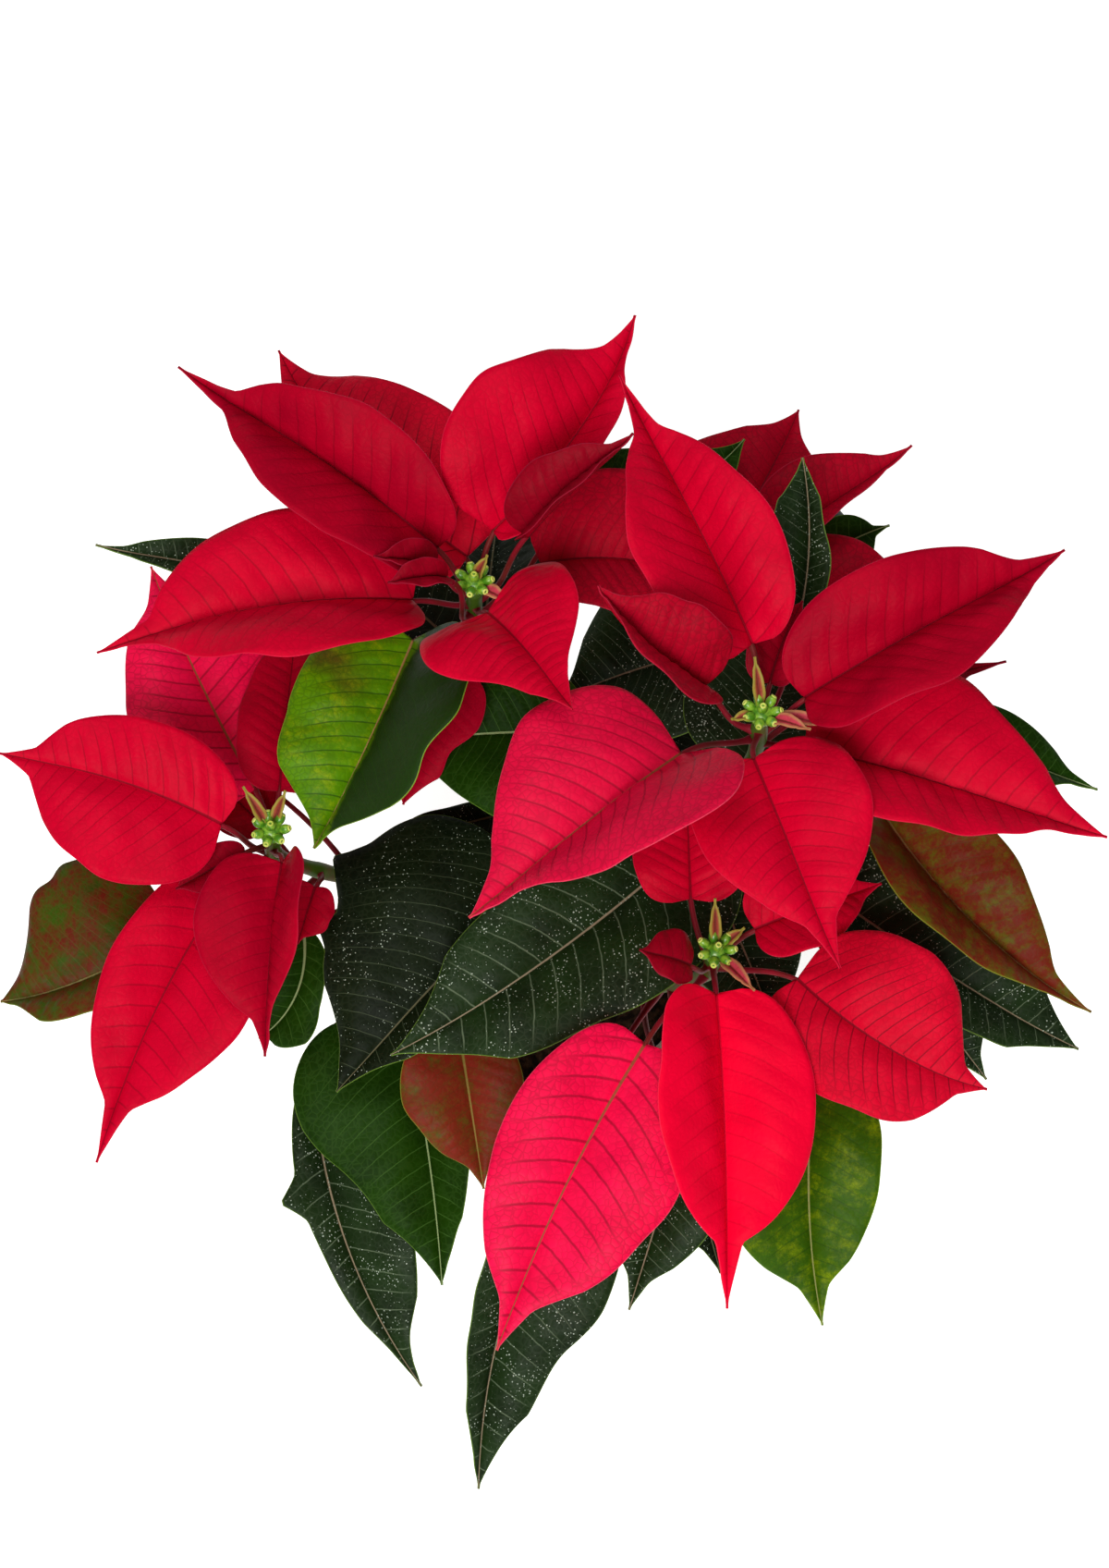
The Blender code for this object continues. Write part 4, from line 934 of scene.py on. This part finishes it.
def grow_flowers(stem):
    """The flower cups of a head and the bractlets round them."""
    top = Vector(STEMS[stem][-1])
    axis = (top - smooth_path(STEMS[stem], 0.97)).normalized()
    foot = top + axis * GAP
    grow_cups(stem, foot, axis)
    start = foot + axis * BRACTLET_ROOT
    for number, (azimuth, length, rise) in enumerate(BRACTLETS[stem]):
        turn = math.radians(azimuth)
        slope = math.radians(rise)
        way = Vector((math.cos(turn) * math.cos(slope), math.sin(turn) * math.cos(slope), math.sin(slope)))
        base, tip = start + way * BRACTLET_START, start + way * (BRACTLET_START + length)
        skin, half = (BRACTLET_ROSY, 3.2) if rise < ROSY_BELOW_RISE else (BRACTLET_SKIN, 2.5)
        blade = ("bractlet", stem, 0, tuple(base), tuple(tip), (half, half), 0.34, 0.86, 30, 30, 1, 0, 1)
        upper, lower, maps, _, _ = blade_surface(blade, *BRACTLET_GRID)
        stalk = tube_grid([start + way * reach for reach, _ in BRACTLET_STALK],
                          [radius for _, radius in BRACTLET_STALK], 8)
        shell = Shell()
        shell.add_blade(upper, lower)
        shell.add_tube(stalk, 0)
        add_piece("bractlet_%s_%d" % (stem, number), shell, [skin], "flowers_" + stem,
                  join_maps(maps, stalk))


# Pot, soil and trunk

POT_HEIGHT = 118.0
POT_FOOT_RADIUS = 47.0
POT_WALL_TOP_RADIUS = 63.5
POT_WALL = 4.5
POT_FLOOR = 5.0
SOIL_HEIGHT = 103.0
SOIL_RINGS = 46
SOIL_SIDES = 160
SOIL_EDGE_GAP = 0.5
CRUMB_HEIGHT = 0.55
HEAP_HEIGHT = 0.6
TRUNK_HOLE_RADIUS = 5.9
TRUNK_HOLE_FLOOR = 73.0
TRUNK_FOOT = 73.5
TRUNK_TOP = 156.0
TRUNK_RADIUS = 4.8
TRUNK_TAPER = 0.4
TRUNK_STEPS = 90
TRUNK_SIDES = 32
TRUNK_SCARS = (112, 121, 128, 134, 140, 146, 151)
SCAR_HEIGHT = 0.22
SCAR_HALF = 1.2


def inner_radius(height):
    """The pot's inner radius at a height."""
    share = (height - POT_FLOOR) / (POT_HEIGHT - POT_FLOOR)
    return POT_FOOT_RADIUS - POT_WALL + (POT_WALL_TOP_RADIUS - POT_FOOT_RADIUS) * share


def lay_soil():
    """Soil with a crumbly top, a hole for the trunk and a flat foot."""
    turns = np.linspace(0, 2 * math.pi, SOIL_SIDES, endpoint=False)
    radii = np.linspace(TRUNK_HOLE_RADIUS, inner_radius(SOIL_HEIGHT) - SOIL_EDGE_GAP, SOIL_RINGS)
    rng = np.random.default_rng(7)
    bumps = rng.normal(0, CRUMB_HEIGHT, (SOIL_RINGS, SOIL_SIDES))
    for _ in range(2):
        bumps = (bumps + np.roll(bumps, 1, 0) + np.roll(bumps, 1, 1) + np.roll(bumps, -1, 1)) / 4 * 1.5
    heap = np.sin(5 * turns[None] + radii[:, None] * 0.25) * HEAP_HEIGHT

    def rings(radii, heights):
        radii = np.array(radii)[:, None]
        heights = heights * np.ones((len(radii), SOIL_SIDES))
        return np.stack([radii * np.cos(turns), radii * np.sin(turns), heights], axis=-1)

    def join(first, second):
        quads = [first, np.roll(first, -1), np.roll(second, -1), second]
        shell.add_faces(np.stack(quads, axis=-1).tolist(), 0)

    shell = Shell()
    top = shell.add_grid(rings(radii, SOIL_HEIGHT + np.clip(bumps + heap, -1.6, 1.8)), 0, True)
    foot = shell.add_grid(rings([inner_radius(POT_FLOOR + GAP) - GAP], POT_FLOOR + GAP), 0, True)[0]
    hole = shell.add_grid(rings([TRUNK_HOLE_RADIUS], TRUNK_HOLE_FLOOR), 0, True)[0]
    join(top[-1], foot)
    join(hole, top[0])
    shell.add_faces([foot.tolist(), hole.tolist()], 0)
    add_piece("soil_bed", shell, [PEAT_SOIL], "soil")


def raise_trunk():
    """The woody stem, with old leaf scars and a pinched-out top."""
    heights = np.linspace(TRUNK_FOOT, TRUNK_TOP, TRUNK_STEPS)
    radii = TRUNK_RADIUS - TRUNK_TAPER * (heights - TRUNK_FOOT) / (TRUNK_TOP - TRUNK_FOOT)
    for scar in TRUNK_SCARS:
        radii = radii + SCAR_HEIGHT * bell(heights - scar, SCAR_HALF)
    radii[-3:] *= (0.96, 0.85, 0.6)
    path = np.stack([np.zeros(TRUNK_STEPS), np.zeros(TRUNK_STEPS), heights], axis=-1)
    outward = tube_grid(path, radii, TRUNK_SIDES) - path[:, None]
    rng = np.random.default_rng(3)
    rough = rng.normal(0, 0.1, TRUNK_SIDES)[None] + rng.normal(0, 0.05, (TRUNK_STEPS, TRUNK_SIDES))
    shell = Shell()
    shell.add_tube(path[:, None] + outward * (1 + np.clip(rough, -0.2, 0.1)[..., None] * 0.35), 0)
    add_piece("woody_trunk", shell, [WOODY_BARK], "trunk")


# Put it together

place_camera()
light_studio()
lay_floor()

for bract in BRACTS:
    finish = finish_of(bract[0][len("bract_"):], BRACT_FINISHES, BRACT_RED)
    grow_blade(bract, bract[0] + "_blade", bract[0], finish, FULL_GRID)
for leaf in LEAVES:
    finish = finish_of(leaf[0], LEAF_FINISHES, LEAF_DARK)
    grid = HIDDEN_GRID if leaf[0].startswith("h") else FULL_GRID
    grow_blade(leaf, "leaf_" + leaf[0], "leafy_stem_" + leaf[1], finish, grid)
for stem in STEMS:
    grow_stem(stem)
    grow_flowers(stem)
lay_soil()
raise_trunk()

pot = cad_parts["pot"]
pot.data.materials.clear()
pot.data.materials.append(SATIN_GLAZE)
